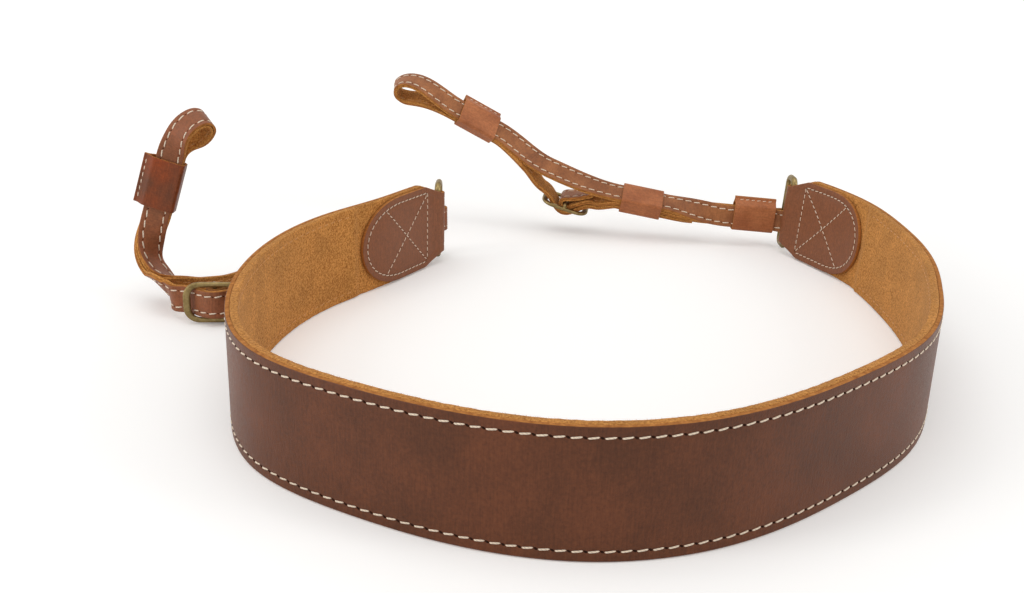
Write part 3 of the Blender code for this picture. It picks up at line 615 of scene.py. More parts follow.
def tube_faces(rows, columns, closed=False):
    """Quads of a grid whose columns close into a tube, with each quad's row and column."""
    row, column = np.meshgrid(np.arange(rows if closed else rows - 1), np.arange(columns), indexing="ij")
    after_row, after_column = (row + 1) % rows, (column + 1) % columns
    quads = np.stack([row * columns + column, after_row * columns + column,
                      after_row * columns + after_column, row * columns + after_column], axis=-1)
    return quads.reshape(-1, 4), row, column


def fullness(depth, rounding):
    """Share of the full thickness at a depth from the outline: a superellipse of power 3."""
    return np.clip(1.0 - (1.0 - np.clip(depth / rounding, 0.0, 1.0)) ** 3, 0.0, 1.0) ** (1 / 3)


def strip(name, near, far, width, half, finish, middle=0.0, square_ends=True, seams=(), sewing=None,
          ragged=0.0, paleness=0.0):
    """A strip of leather between two laid lines, with its edge rounded all the way round.

    The section is a superellipse near the edge: thickness share = (1 - (1 - d/r)^3)^(1/3),
    where d is the distance from the outline and r the rounding, which is smaller on the
    hidden face. A seam pulls the outer face in along a bell curve. Returns the object.
    """
    rounding, groove = sewing.rounding, sewing.groove
    along = arc_lengths((near + far) / 2)
    if square_ends:
        rows = np.unique(np.concatenate([END_ROWS, along, along[-1] - END_ROWS]))
        near, far, width = (read_off(rows, along, values) for values in (near, far, width))
        half = np.interp(rows, along, np.broadcast_to(half, along.shape))
        along = rows
        from_end = np.minimum(along, along[-1] - along)
    else:
        half = np.broadcast_to(half, along.shape)
        from_end = np.full(len(along), 1.0)
    widest = half.max()
    insets = np.concatenate([EDGE_INSETS, np.add.outer(seams, SEAM_INSETS).ravel()])
    inside = np.linspace(0.0, widest - INNER_INSET, INNER_COLUMNS)
    marks = np.unique(np.round(np.concatenate([widest - insets, inside]), 8))
    share = np.concatenate([-marks[::-1], marks[1:]]) / widest
    across = half[:, None] * share
    slope = np.gradient(half, along)
    from_edge = (half[:, None] - np.abs(across)) / np.sqrt(1.0 + slope ** 2)[:, None]
    depth = np.minimum(from_edge, from_end[:, None])
    shown, hidden = fullness(depth, rounding), fullness(depth, HIDDEN_ROUNDING * rounding)
    pulled = sum(np.exp(-((from_edge - seam) / GROOVE_WIDTH) ** 2) for seam in seams)
    thickness = np.linalg.norm(far - near, axis=1)[:, None]
    outer_share = shown - 2 * groove * pulled / thickness
    wave = sum(np.sin(along / size + phase) for size, phase in RAGGED_WAVES) / len(RAGGED_WAVES)
    across = across + ragged * wave[:, None] * np.abs(share) ** RAGGED_POWER * np.sign(share)
    core, thick = (near + far) / 2, (far - near) / 2
    spread = core[:, None] + width[:, None] * (middle + across)[..., None]
    top = spread + thick[:, None] * outer_share[..., None]
    bottom = spread - thick[:, None] * hidden[..., None]
    points = np.concatenate([top, bottom[:, -2:0:-1]], axis=1)
    # The pattern map unrolls the strip: its length along, then once round its section
    unrolled = np.concatenate([across, 2 * half[:, None] - across[:, -2::-1]], axis=1)
    pattern = np.stack([np.broadcast_to(along[:, None], unrolled.shape), unrolled], axis=-1)
    cut = np.clip((0.93 - shown) / 0.3, 0.0, 1.0)
    raw = np.concatenate([cut, np.ones((len(along), len(share) - 2))], axis=1)
    quads, row, column = tube_faces(*points.shape[:2])
    corner_uv = np.stack([pattern[row, column], pattern[row + 1, column],
                          pattern[row + 1, column + 1], pattern[row, column + 1]], axis=-2)
    # Share of painted light at each point, which makes the tabs paler
    pale = np.broadcast_to(np.asarray(paleness).reshape(-1, 1), raw.shape)
    return mesh_object(name, points.reshape(-1, 3), quads.tolist(), corner_uv.reshape(-1, 2), raw, finish,
                       pale)


def hole_stations(line, pitch):
    """Distances along a seam: of its own points, and of its holes, one pitch apart and evenly placed."""
    along = arc_lengths(line)
    count = max(1, int(along[-1] // pitch))
    return along, (along[-1] - count * pitch) / 2 + np.arange(count + 1) * pitch


def thread_tubes(line, normals, pitch, length, thread, sink):
    """Stitches along a seam: tubes that rise as 1 - x^4 from hole to hole and dip in at both ends."""
    along, holes = hole_stations(line, pitch)
    centres = (holes[:-1] + holes[1:]) / 2
    x = np.linspace(-1.0, 1.0, STITCH_ROWS)
    at = centres[:, None] + x * length / 2
    place, up = read_off(at, along, line), unit(read_off(at, along, normals))
    ahead = unit(np.gradient(place, axis=1))
    side = unit(np.cross(ahead, up))
    rise = thread * (STITCH_BOW * (1 - x ** 4) - STITCH_DIP * np.abs(x) ** 8) - sink
    place = place + up * rise[:, None] - side * (STITCH_SLANT * thread * x)[:, None]
    turn = np.arange(STITCH_SIDES) * 2 * math.pi / STITCH_SIDES
    radius = thread / 2 * (1 - STITCH_TAPER * np.abs(x) ** 6)
    ring = (np.cos(turn)[:, None] * side[:, :, None, :]
            + STITCH_FLATNESS * np.sin(turn)[:, None] * up[:, :, None, :])
    points = place[:, :, None, :] + ring * radius[:, None, None]
    quads, row, column = tube_faces(STITCH_ROWS, STITCH_SIDES)
    first = list(range(STITCH_SIDES))
    caps = [first[::-1], [corner + (STITCH_ROWS - 1) * STITCH_SIDES for corner in first]]
    around = math.pi * thread / STITCH_SIDES
    pattern = np.stack([np.stack([x[row + down] * length / 2, (column + right) * around], axis=-1)
                        for down, right in ((0, 0), (1, 0), (1, 1), (0, 1))], axis=-2).reshape(-1, 2)
    return points.reshape(len(centres), -1, 3), quads.tolist(), caps, pattern


def seam(name, lines, pitch, length, thread, sink, finish):
    """One object with all the stitches of some seams, each a (line, normals) pair."""
    points, faces, pattern, start = [], [], [], 0
    for line, normals in lines:
        tubes, quads, caps, corner_uv = thread_tubes(line, normals, pitch, length, thread, sink)
        flat_caps = np.zeros((sum(len(cap) for cap in caps), 2))
        for tube in tubes:
            points.append(tube)
            faces += [[start + corner for corner in face] for face in quads + caps]
            pattern += [corner_uv, flat_caps]
            start += len(tube)
    points = np.vstack(points)
    return mesh_object(name, points, faces, np.vstack(pattern), np.zeros(len(points)), finish)


def punched_holes(name, lines, pitch, thread, sink, finish):
    """The awl holes of some seams: flat dark ovals of painted shade on the leather between the stitches."""
    lift = np.linspace(-math.pi / 2, math.pi / 2, HOLE_ROWS)
    turn = np.arange(HOLE_SIDES) * 2 * math.pi / HOLE_SIDES
    half_length, half_width, half_depth = (thread * part for part in HOLE_HALVES)
    cosine, sine = HOLE_TURN
    points = []
    for line, normals in lines:
        along, holes = hole_stations(line, pitch)
        place, up = read_off(holes, along, line), unit(read_off(holes, along, normals))
        ahead = unit(read_off(holes + 0.1 * MM, along, line) - read_off(holes - 0.1 * MM, along, line))
        side = unit(np.cross(ahead, up))
        slit, crosswise = cosine * ahead + sine * side, cosine * side - sine * ahead
        oval = (half_length * np.cos(turn)[:, None] * slit[:, None]
                + half_width * np.sin(turn)[:, None] * crosswise[:, None])
        height = half_depth * np.sin(lift) - sink + HOLE_PROUD * thread
        rings = oval[:, None] * np.cos(lift)[:, None, None] + (up[:, None] * height[:, None])[:, :, None]
        points.append((place[:, None, None] + rings).reshape(-1, 3))
    points = np.vstack(points)
    starts = np.arange(0, len(points), HOLE_ROWS * HOLE_SIDES)
    faces = (starts[:, None, None] + tube_faces(HOLE_ROWS, HOLE_SIDES)[0]).reshape(-1, 4)
    corner_uv = np.zeros((faces.size, 2))
    return mesh_object(name, points, faces.tolist(), corner_uv, np.zeros(len(points)), finish)


def add(tree, kind, inputs=None, **settings):
    """One node with its settings; each input, by name or number, is linked to a socket or given a value."""
    made = tree.nodes.new(kind)
    for key, value in settings.items():
        setattr(made, key, value)
    for key, value in (inputs or {}).items():
        if isinstance(value, bpy.types.NodeSocket):
            tree.links.new(value, made.inputs[key])
        else:
            made.inputs[key].default_value = value
    return made


def blank(name):
    """A new material with only an output, and its node tree."""
    made = bpy.data.materials.new(name)
    made.use_nodes = True
    made.node_tree.nodes.clear()
    return made, made.node_tree


def scaled(tree, socket, factors):
    """Coordinates times one factor for each axis."""
    return add(tree, "ShaderNodeVectorMath", {0: socket, 1: factors}, operation="MULTIPLY").outputs[0]


def place_in_mm(tree):
    """The object's own coordinates in millimetres."""
    return scaled(tree, add(tree, "ShaderNodeTexCoord").outputs["Object"], (1000.0, 1000.0, 1000.0))


def pattern_in_mm(tree):
    """The pattern map in millimetres: along the piece, and round its section."""
    return scaled(tree, add(tree, "ShaderNodeUVMap", uv_map="pattern").outputs[0], (1000.0, 1000.0, 1000.0))


def noise(tree, place, size, detail=2.0, roughness=0.5):
    """A cloud noise with blotches of about the given size in millimetres."""
    return add(tree, "ShaderNodeTexNoise", {"Vector": place, "Scale": 1 / size, "Detail": detail,
                                            "Roughness": roughness}).outputs[0]


def ranged(tree, socket, low, high, to_low=0.0, to_high=1.0):
    """A value that goes from to_low to to_high while the socket goes from low to high."""
    return add(tree, "ShaderNodeMapRange", {0: socket, 1: low, 2: high, 3: to_low, 4: to_high}).outputs[0]


def blend(tree, share, first, second, how="MIX"):
    """A colour that goes from the first to the second with the share."""
    return add(tree, "ShaderNodeMix", {0: share, 6: first, 7: second}, data_type="RGBA",
               blend_type=how).outputs[2]


def bumped(tree, height, strength, depth):
    """A normal that shows a height as relief, depth in metres."""
    return add(tree, "ShaderNodeBump", {"Height": height, "Strength": strength, "Distance": depth}).outputs[0]


def surfaced(made, inputs):
    """The material, finished with one shader that has the given inputs."""
    shader = add(made.node_tree, "ShaderNodeBsdfPrincipled", inputs)
    add(made.node_tree, "ShaderNodeOutputMaterial", {0: shader.outputs[0]})
    return made


def cut_fibres(tree, colours, pattern):
    """Colour and height of a trimmed edge: fibres that run along it, about 3 mm by 0.25 mm."""
    fibres = noise(tree, scaled(tree, pattern, (0.35, 4.0, 1.0)), 1.0, 5.0, 0.65)
    return blend(tree, ranged(tree, fibres, 0.36, 0.6), colours.edge_dark, colours.edge), fibres


def oiled_leather(name, colours, light, dark, pale, gloss, cloud_size, edge_share):
    """Vegetable-tanned grain leather, dyed, oiled and rolled smooth, with trimmed raw edges.

    The oil leaves cloudy light and dark areas, the hide's pores and fine wrinkles show as
    a low pebble about 0.7 mm across, and the shine is that of wax, soft and uneven.
    """
    made, tree = blank(name)
    place, pattern = place_in_mm(tree), pattern_in_mm(tree)
    clouds = noise(tree, place, cloud_size, 4.0, 0.55)
    cloudy = blend(tree, ranged(tree, clouds, 0.36, 0.66), dark, light)
    # Painted light: this share lifts the tabs to their paler colour, for the light that falls on them
    painted_light_share = add(tree, "ShaderNodeAttribute", attribute_name="pale").outputs["Fac"]
    base = blend(tree, painted_light_share, cloudy, pale)
    mottle = noise(tree, place, 1.1, 6.0, 0.72)
    hairs = noise(tree, scaled(tree, pattern, (1.7, 0.13, 1.0)), 1.0, 4.0, 0.7)
    marks = add(tree, "ShaderNodeMath", {0: ranged(tree, mottle, 0.3, 0.7, 0.74, 1.22),
                                         1: ranged(tree, hairs, 0.35, 0.65, 0.86, 1.12)},
                operation="MULTIPLY")
    grained = blend(tree, 1.0, base, marks.outputs[0], "MULTIPLY")
    pores = add(tree, "ShaderNodeTexVoronoi", {"Scale": 1 / 0.7, "Randomness": 1.0, "Vector": place},
                feature="DISTANCE_TO_EDGE")
    wrinkles = noise(tree, scaled(tree, pattern, (0.9, 0.28, 1.0)), 1.0, 3.0, 0.6)
    height = add(tree, "ShaderNodeMath", {0: ranged(tree, pores.outputs[0], 0.0, 0.22), 1: 0.45, 2: wrinkles},
                 operation="MULTIPLY_ADD")
    raw = add(tree, "ShaderNodeAttribute", attribute_name="raw").outputs["Fac"]
    cut = ranged(tree, raw, edge_share, edge_share + 0.2)
    edge_colour, edge_height = cut_fibres(tree, colours, pattern)
    waxy = ranged(tree, mottle, 0.3, 0.7, gloss - 0.07, gloss + 0.1)
    rough = add(tree, "ShaderNodeMix", {0: cut, 2: waxy, 3: 0.92})
    relief = add(tree, "ShaderNodeMix", {0: cut, 2: height.outputs[0], 3: edge_height})
    return surfaced(made, {"Base Color": blend(tree, cut, grained, edge_colour),
                           "Roughness": rough.outputs[0], "IOR": 1.45, "Specular IOR Level": 0.3,
                           "Normal": bumped(tree, relief.outputs[0], 0.55, 0.12 * MM)})


def split_suede(name, colours):
    """Split cowhide buffed to a nap: short ochre fibres in tufts of about 0.8 mm, with a pale sheen."""
    made, tree = blank(name)
    place = place_in_mm(tree)
    tufts = noise(tree, place, 0.8, 5.0, 0.75)
    base = blend(tree, ranged(tree, tufts, 0.36, 0.6), colours.suede_dark, colours.suede)
    brushed = ranged(tree, noise(tree, place, 14.0, 3.0), 0.3, 0.7, 0.88, 1.12)
    return surfaced(made, {"Base Color": blend(tree, 1.0, base, brushed, "MULTIPLY"), "Roughness": 0.95,
                           "Specular IOR Level": 0.15, "Sheen Weight": 0.3, "Sheen Roughness": 0.4,
                           "Sheen Tint": linear("E8C79A"), "Normal": bumped(tree, tufts, 0.8, 0.35 * MM)})


def waxed_thread(name, colour, depth):
    """Linen thread of three plies, waxed, with a slanted ply every 0.55 mm along it and painted shade in the
    grooves between the plies.
    """
    made, tree = blank(name)
    plies = add(tree, "ShaderNodeTexWave", {"Scale": 0.31 / 0.55, "Distortion": 0.6,
                                            "Vector": pattern_in_mm(tree)}, bands_direction="DIAGONAL")
    # Painted shade: the colour darkens in the grooves between the plies
    shaded = ranged(tree, plies.outputs["Fac"], 0.0, 0.5, depth, 1.0)
    return surfaced(made, {"Base Color": blend(tree, 1.0, colour, shaded, "MULTIPLY"), "Roughness": 0.6,
                           "Sheen Weight": 0.1, "Normal": bumped(tree, plies.outputs["Fac"], 0.6, 0.08 * MM)})


def awl_hole(name):
    """The inside of a punched hole, as painted shade: dark and dull, with a slight mottle."""
    made, tree = blank(name)
    mottle = noise(tree, place_in_mm(tree), 0.5)
    return surfaced(made, {"Base Color": blend(tree, mottle, linear("140A06"), linear("3A2014")),
                           "Roughness": 0.95, "Specular IOR Level": 0.1})


def antique_brass(name, colours):
    """Cast brass, tumbled, browned and rubbed back: dull gold with brown patina in patches of 2 mm."""
    made, tree = blank(name)
    place = place_in_mm(tree)
    patina = noise(tree, place, 2.2, 6.0, 0.65)
    scratches = noise(tree, place, 0.35, 3.0)
    return surfaced(made, {"Base Color": blend(tree, ranged(tree, patina, 0.3, 0.7), colours.brass_dark,
                                               colours.brass),
                           "Roughness": ranged(tree, patina, 0.35, 0.65, 0.5, 0.33), "Metallic": 1.0,
                           "Normal": bumped(tree, scratches, 0.25, 0.06 * MM)})


def finish_of(kind):
    """The finish of one kind of piece, from the scene's colours, made the first time that it is asked for.

    A leather's details are its light and dark colours, the colour of its painted light, its gloss,
    the size of its clouds in millimetres and how far its cut edge reaches in.
    """
    hues = bpy.context.scene.strap_colours
    name, make, *details = {
        "pad": ("oiled_pad_leather", oiled_leather, hues, hues.pad, hues.pad_dark, hues.pad_pale,
                0.38, 24.0, 0.3),
        "strap": ("strap_bridle_leather", oiled_leather, hues, hues.strap, hues.strap_dark, hues.strap,
                  0.46, 12.0, 0.2),
        # Painted shade: the left strap's darker copy of the strap leather
        "shaded strap": ("strap_russet_leather", oiled_leather, hues, hues.strap_painted_shade, hues.pad_pale,
                       hues.strap, 0.42, 12.0, 0.2),
        "keeper": ("keeper_bridle_leather", oiled_leather, hues, hues.keeper, hues.keeper_dark, hues.keeper,
                   0.42, 14.0, 0.5),
        # Painted shade: the left lug keeper's darker copy of the keeper leather
        "shaded keeper": ("keeper_oxblood_leather", oiled_leather, hues, hues.keeper_shaded, hues.pad,
                          hues.keeper, 0.38, 14.0, 0.5),
        "suede": ("buffed_split_suede", split_suede, hues),
        "thread": ("waxed_linen_thread", waxed_thread, hues.thread, 0.72),
        "lining_thread": ("tan_linen_thread", waxed_thread, hues.suede, 0.6),
        "hole": ("awl_hole_leather", awl_hole),
        "brass": ("antique_cast_brass", antique_brass, hues),
    }[kind]
    return bpy.data.materials.get(name) or make(name, *details)


def strap_runs(main, lower):
    """Side views of one narrow strap, from its sewn flap to its free tail, as the solids have them."""
    steps = (STRAP_ROW_STEP, STRAP_FOLD_STEP)
    ring, buckle, middle, lug = (lower["marks"][name]
                                 for name in ("ring", "buckle", "middle_keeper", "lug_keeper"))
    half = STRAP_PITCH / 2
    keeper = KEEPER_LENGTH / 2 + LEVEL_FROM_KEEPER
    bar = BUCKLE_CENTRE_RISE - BUCKLE_DROP
    rim = BUCKLE_LENGTH / 2 - BUCKLE_END_WIDTH
    over = BUCKLE_BAR_DEPTH / 2 + GAP + STRAP_THICKNESS / 2 + BUCKLE_SLACK - BUCKLE_DROP
    beyond_bar = BAR_WRAP + STRAP_PITCH + BUCKLE_SLACK / 2
    under = np.array([math.sin(math.radians(BUCKLE_RISE)), math.cos(math.radians(BUCKLE_RISE))])
    wrap_end = np.array([buckle, bar]) - BAR_WRAP * under
    outer_end = np.array([buckle, bar]) - beyond_bar * under
    shared = [
        (buckle - rim, over + 1.25 * STRAP_PITCH, 180.0 - BUCKLE_RISE),
        (middle + keeper, -half, 180.0),
    ]
    fixed = flow([
        (buckle - FLAP_LENGTH, over + 3.4 * STRAP_PITCH, -34.0),
        (buckle, bar + BAR_WRAP, -16.0),
        (buckle + BAR_WRAP, bar, -90.0),
        (wrap_end[0], wrap_end[1], 180.0 - BUCKLE_RISE),
    ] + shared + [
        (ring + LEVEL_FROM_RING, -half, 180.0),
        (ring, -WRAP_RADIUS, 180.0),
    ], *steps)
    upper_lug, tip = main["marks"]["lug_keeper"], main["marks"]["tip"]
    loop = LOOP_REACH * LOOP_RADIUS
    main_leg = flow([
        (ring, -WRAP_RADIUS, 180.0),
        (ring - WRAP_RADIUS, 0.0, 90.0),
        (ring, WRAP_RADIUS, 0.0),
        (ring + LEVEL_FROM_RING, half, 0.0),
        (upper_lug + keeper, half, 0.0),
        (tip - loop, LOOP_RADIUS, 0.0),
        (tip, 0.0, -90.0),
        (tip - loop, -LOOP_RADIUS, 180.0),
        (upper_lug + keeper, -half, 180.0),
    ], *steps)
    tail_end = (middle - KEEPER_LENGTH / 2 - TAIL_LENGTH, -half, 180.0)
    tail_points, tail_normals = flow(shared + [tail_end], *steps)
    tail_points = tail_points + tail_normals * STRAP_PITCH
    threaded = flow([
        (lug + keeper, -half, 180.0),
        (buckle + rim + LEVEL_FROM_BUCKLE, -half, 180.0),
        (buckle + rim, over, 180.0 + BUCKLE_RISE + 8.0),
        (buckle, bar - beyond_bar, 180.0),
        (outer_end[0], outer_end[1], 180.0 - BUCKLE_RISE),
        (tail_points[0, 0], tail_points[0, 1], shared[0][2]),
    ], *steps)
    return [
        (lower, fixed[0][:-1], fixed[1][:-1]),
        (main, main_leg[0][:-1], main_leg[1][:-1]),
        (lower, threaded[0][:-1], threaded[1][:-1]),
        (lower, tail_points, tail_normals),
    ]


def side_frames(side):
    """The frames of one side's stations."""
    fold, reach, up = ring_fold(side, pad_spine())
    return strap_frames(SIDES[side], (fold + reach * RING_REACH, up))


def side_runs(side):
    """One side's strap: its side views, laid on the spines of its upper and lower legs."""
    frames, hand = side_frames(side), SIDES[side]["hand"]
    main = {name: spot for name, spot in frames.items() if name not in ("buckle", "drop")}
    return strap_runs(strap_spine(main, hand), strap_spine(lower_frames(frames), hand))


def even_line(line, normals, start, end, step=SEAM_ROW_STEP):
    """A line and its normals read off evenly between two distances from its ends."""
    along = arc_lengths(line)
    at = np.arange(start, along[-1] - end, step)
    return read_off(at, along, line), unit(read_off(at, along, normals))


class STRAP_OT_pad(bpy.types.Operator):
    """Build the shoulder pad: the grain-leather strip with its folded tabs, and its suede lining"""

    bl_idname = "strap.pad"
    bl_label = "Shoulder pad"

    def execute(self, context):
        sewing = context.scene.strap_sewing
        spine = pad_spine()
        bars, outer, tab = pad_bars(spine)
        middle = (outer + tab) / 2
        tips = (bars[0] + TAB_LENGTH, bars[1] - TAB_LENGTH)
        bulge = NECK_LENGTH - 4 * MM
        nose = (np.arange(NOSE_ROWS + 1) / NOSE_ROWS) ** 2 * NOSE_REACH
        points, normals = flow([
            (tips[0] - nose[-1], tab, 180.0),
            (bars[0] + bulge, tab, 180.0),
            (bars[0], middle - FOLD_RADIUS, 180.0),
            (bars[0] - FOLD_RADIUS, middle, 90.0),
            (bars[0], middle + FOLD_RADIUS, 0.0),
            (bars[0] + bulge, outer, 0.0),
            (bars[1] - bulge, outer, 0.0),
            (bars[1], middle + FOLD_RADIUS, 0.0),
            (bars[1] + FOLD_RADIUS, middle, -90.0),
            (bars[1], middle - FOLD_RADIUS, 180.0),
            (bars[1] - bulge, tab, 180.0),
            (tips[1] + nose[-1], tab, 180.0),
        ], PAD_ROW_STEP, PAD_FOLD_STEP)
        first = np.stack([tips[0] - nose[:-1], np.full(NOSE_ROWS, tab)], axis=1)
        last = np.stack([tips[1] + nose[-2::-1], np.full(NOSE_ROWS, tab)], axis=1)
        points = np.vstack([first, points, last])
        level = np.repeat(normals[:1], NOSE_ROWS, axis=0)
        normals = np.vstack([level, normals, level])
        half = neck_half(points[:, 0], bars)
        left_half = points[:, 0] < spine["along"][-1] / 2
        from_tip = np.where(left_half, tips[0] - points[:, 0], points[:, 0] - tips[1])
        half = np.where(points[:, 1] < middle, np.minimum(half, nose_half(from_tip)), half)
        runs = [(spine, points, normals)]
        near, width = laid(runs, -PAD_LEATHER / 2)
        far, width = laid(runs, PAD_LEATHER / 2)
        # The tabs get painted light: paler from the fold to the tab face, for the light that falls on them
        leather = strip("pad_grain_leather", near, far, width, half, finish_of("pad"), middle=PAD_WIDTH / 2,
                        square_ends=False, seams=(sewing.pad_inset,), sewing=sewing,
                        paleness=np.clip((outer - points[:, 1]) / (outer - tab), 0.0, 1.0))
        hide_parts("pad_leather")
        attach(leather, "pad")

        height = -PAD_FACE + PAD_SUEDE / 2
        points, normals = flow([(bars[0] + SUEDE_SETBACK, height, 0.0), (bars[0] + NECK_LENGTH, height, 0.0),
                                (bars[1] - NECK_LENGTH, height, 0.0), (bars[1] - SUEDE_SETBACK, height, 0.0)],
                               PAD_ROW_STEP, PAD_FOLD_STEP)
        runs = [(spine, points, normals)]
        near, width = laid(runs, PAD_SUEDE / 2 + GAP - 2 * PRESSED)
        far, width = laid(runs, -PAD_SUEDE / 2 - sewing.nap * free_of_tabs(points[:, 0], bars))
        lining = strip("pad_suede_nap", near, far, width, neck_half(points[:, 0], bars), finish_of("suede"),
                       middle=PAD_WIDTH / 2, seams=(sewing.pad_inset,), sewing=sewing, ragged=0.12 * MM)
        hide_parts("pad_suede_lining")
        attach(lining, "pad")
        return {"FINISHED"}


class STRAP_OT_nap(bpy.types.Operator):
    """Raise loose fibres along the upper edge of the pad's lining"""

    bl_idname = "strap.nap"
    bl_label = "Loose nap"

    def execute(self, context):
        sewing = context.scene.strap_sewing
        spine = pad_spine()
        bars = pad_bars(spine)[0]
        draw = np.random.default_rng(11)
        along = draw.uniform(bars[0] + NECK_LENGTH, bars[1] - NECK_LENGTH, FIBRE_COUNT)
        place, face, width = spine_at(spine, along)
        ahead = unit(np.cross(face, width))
        deep = PAD_FACE + sewing.nap * free_of_tabs(along, bars) - 0.2 * MM
        across = -deep + draw.random(FIBRE_COUNT) * (deep - PAD_FACE + PAD_SUEDE - 0.2 * MM)
        root = place + face * across[:, None] + width * (PAD_WIDTH - 0.3 * MM)
        lean = draw.uniform((-0.8, -0.9), (0.8, 0.35), (FIBRE_COUNT, 2))
        point = unit(width + ahead * lean[:, :1] + face * lean[:, 1:])
        length = draw.uniform(0.35, 0.85, FIBRE_COUNT)[:, None] * MM
        # Each fibre is a sliver with a three-cornered foot, a little coarser than the real one
        turn = np.arange(3) * 2 * math.pi / 3
        foot = (np.cos(turn)[:, None] * ahead[:, None] + np.sin(turn)[:, None] * face[:, None]) * FIBRE_FOOT
        corners = np.concatenate([root[:, None] + foot, (root + point * length)[:, None]], axis=1)
        one = np.array([(0, 2, 1), (0, 1, 3), (1, 2, 3), (2, 0, 3)])
        faces = (one[None] + 4 * np.arange(FIBRE_COUNT)[:, None, None]).reshape(-1, 3).tolist()
        points = corners.reshape(-1, 3)
        made = mesh_object("pad_suede_loose_fibres", points, faces, np.zeros((3 * len(faces), 2)),
                           np.zeros(len(points)), finish_of("suede"))
        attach(made, "pad")
        return {"FINISHED"}


class STRAP_OT_pad_sewing(bpy.types.Operator):
    """Sew the pad: a row along each edge, and a D with a cross on each tab, on both faces"""

    bl_idname = "strap.pad_sewing"
    bl_label = "Pad sewing"

    def execute(self, context):
        sewing = context.scene.strap_sewing
        spine = pad_spine()
        bars, _, tab = pad_bars(spine)
        rows = {"front": [], "lining": []}
        for name, height, reach in (("front", PAD_FACE, EDGE_SEAM_START),
                                    ("lining", -PAD_FACE - sewing.nap, LINING_SEAM_START)):
            along = np.arange(bars[0] + reach, bars[1] - reach, 0.8 * MM)
            place, face, width = spine_at(spine, along)
            for edge in (sewing.pad_inset, PAD_WIDTH - sewing.pad_inset):
                rows[name].append((place + face * height + width * edge, face * np.sign(height)))
        made = [
            seam("pad_edge_stitches", rows["front"], sewing.pitch, sewing.length, sewing.thread,
                 sewing.groove, finish_of("thread")),
            punched_holes("pad_edge_holes", rows["front"], sewing.pitch, sewing.thread, sewing.groove,
                          finish_of("hole")),
            seam("pad_lining_stitches", rows["lining"], sewing.pitch, sewing.length, 0.8 * sewing.thread,
                 1.6 * sewing.groove, finish_of("lining_thread")),
        ]
        inset = TAB_SEAM_INSET
        level = np.arange(TAB_SEAM_START, TAB_LENGTH - inset - TAB_SEAM_NOSE, 0.5 * MM)
        nose = TAB_LENGTH - inset - TAB_SEAM_NOSE * np.linspace(1.0, 0.0, NOSE_POINTS) ** 2
        level = np.concatenate([level, nose])
        outline = np.minimum(nose_half(TAB_LENGTH - level, inset), neck_half(level, (0.0, 1.0)) - inset)
        corner = outline[0]
        cross_half = float(nose_half(np.array(TAB_LENGTH - TAB_CROSS_END), inset))
        closing = np.linspace((TAB_SEAM_START, -corner), (TAB_SEAM_START, corner), CLOSING_POINTS)
        letter = np.vstack([closing, np.stack([level, outline], axis=1)[1:],
                            np.stack([level, -outline], axis=1)[-2::-1]])
        slant = np.linspace((TAB_SEAM_START, corner), (TAB_CROSS_END, -cross_half), STRAIGHT_POINTS)
        for side, bar, towards in (("left", bars[0], 1.0), ("right", bars[1], -1.0)):
            for face_name, height, out in (("tab", tab - PAD_LEATHER / 2, -1.0), ("outer", PAD_FACE, 1.0)):
                lines = []
                for drawn in (letter, slant, slant * (1, -1)):
                    place, face, width = spine_at(spine, bar + towards * drawn[:, 0])
                    up = width * (PAD_WIDTH / 2 + drawn[:, 1:2])
                    lines.append((place + face * height + up, face * out))
                made.append(seam(f"{face_name}_stitches_{side}", lines, sewing.tab_pitch, sewing.tab_length,
                                 sewing.tab_thread, PRESSED, finish_of("thread")))
                made.append(punched_holes(f"{face_name}_holes_{side}", lines, sewing.tab_pitch,
                                          0.6 * sewing.tab_thread, 0.0, finish_of("hole")))
        for item in made:
            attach(item, "pad")
        return {"FINISHED"}


class STRAP_OT_narrow_straps(bpy.types.Operator):
    """Build both narrow straps: leather outside, suede inside, sewn together along both edges"""

    bl_idname = "strap.narrow_straps"
    bl_label = "Narrow straps"

    def execute(self, context):
        sewing = context.scene.strap_sewing
        for side in SIDES:
            runs = side_runs(side)
            body = f"narrow_strap_{side}"
            half = STRAP_WIDTH / 2
            # The left strap takes the copy of its leather with painted shade
            grain = "strap" if side == "right" else "shaded strap"
            layers = {"leather": (PRESSED, GAP / 2 + STRAP_LAYER, grain, "strap_leather", 0.0),
                      "suede": (-PRESSED, -GAP / 2 - STRAP_LAYER, "suede", "suede", 0.05 * MM)}
            for layer, (inner, outer, kind, slot, ragged) in layers.items():
                near, width = laid(runs, inner)
                far, width = laid(runs, outer)
                made = strip(f"narrow_strap_{side}_{layer}", near, far, width, half, finish_of(kind),
                             seams=(sewing.strap_inset,), sewing=sewing, ragged=ragged)
                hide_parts(f"strap_{side}_{layer}")
                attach(made, body)
                normals = unit(far - near)
                lines = [even_line(far + width * edge, normals, SEAM_END_MARGIN, SEAM_END_MARGIN)
                         for edge in (sewing.strap_inset - half, half - sewing.strap_inset)]
                thread = finish_of("thread" if layer == "leather" else "lining_thread")
                stitches = seam(f"narrow_strap_{side}_{layer}_stitches", lines, sewing.pitch, sewing.length,
                                0.95 * sewing.thread, sewing.groove, thread)
                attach(stitches, body)
                if layer == "leather":
                    holes = punched_holes(f"narrow_strap_{side}_holes", lines, sewing.pitch,
                                          0.55 * sewing.thread, sewing.groove, finish_of("hole"))
                    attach(holes, body)
        return {"FINISHED"}


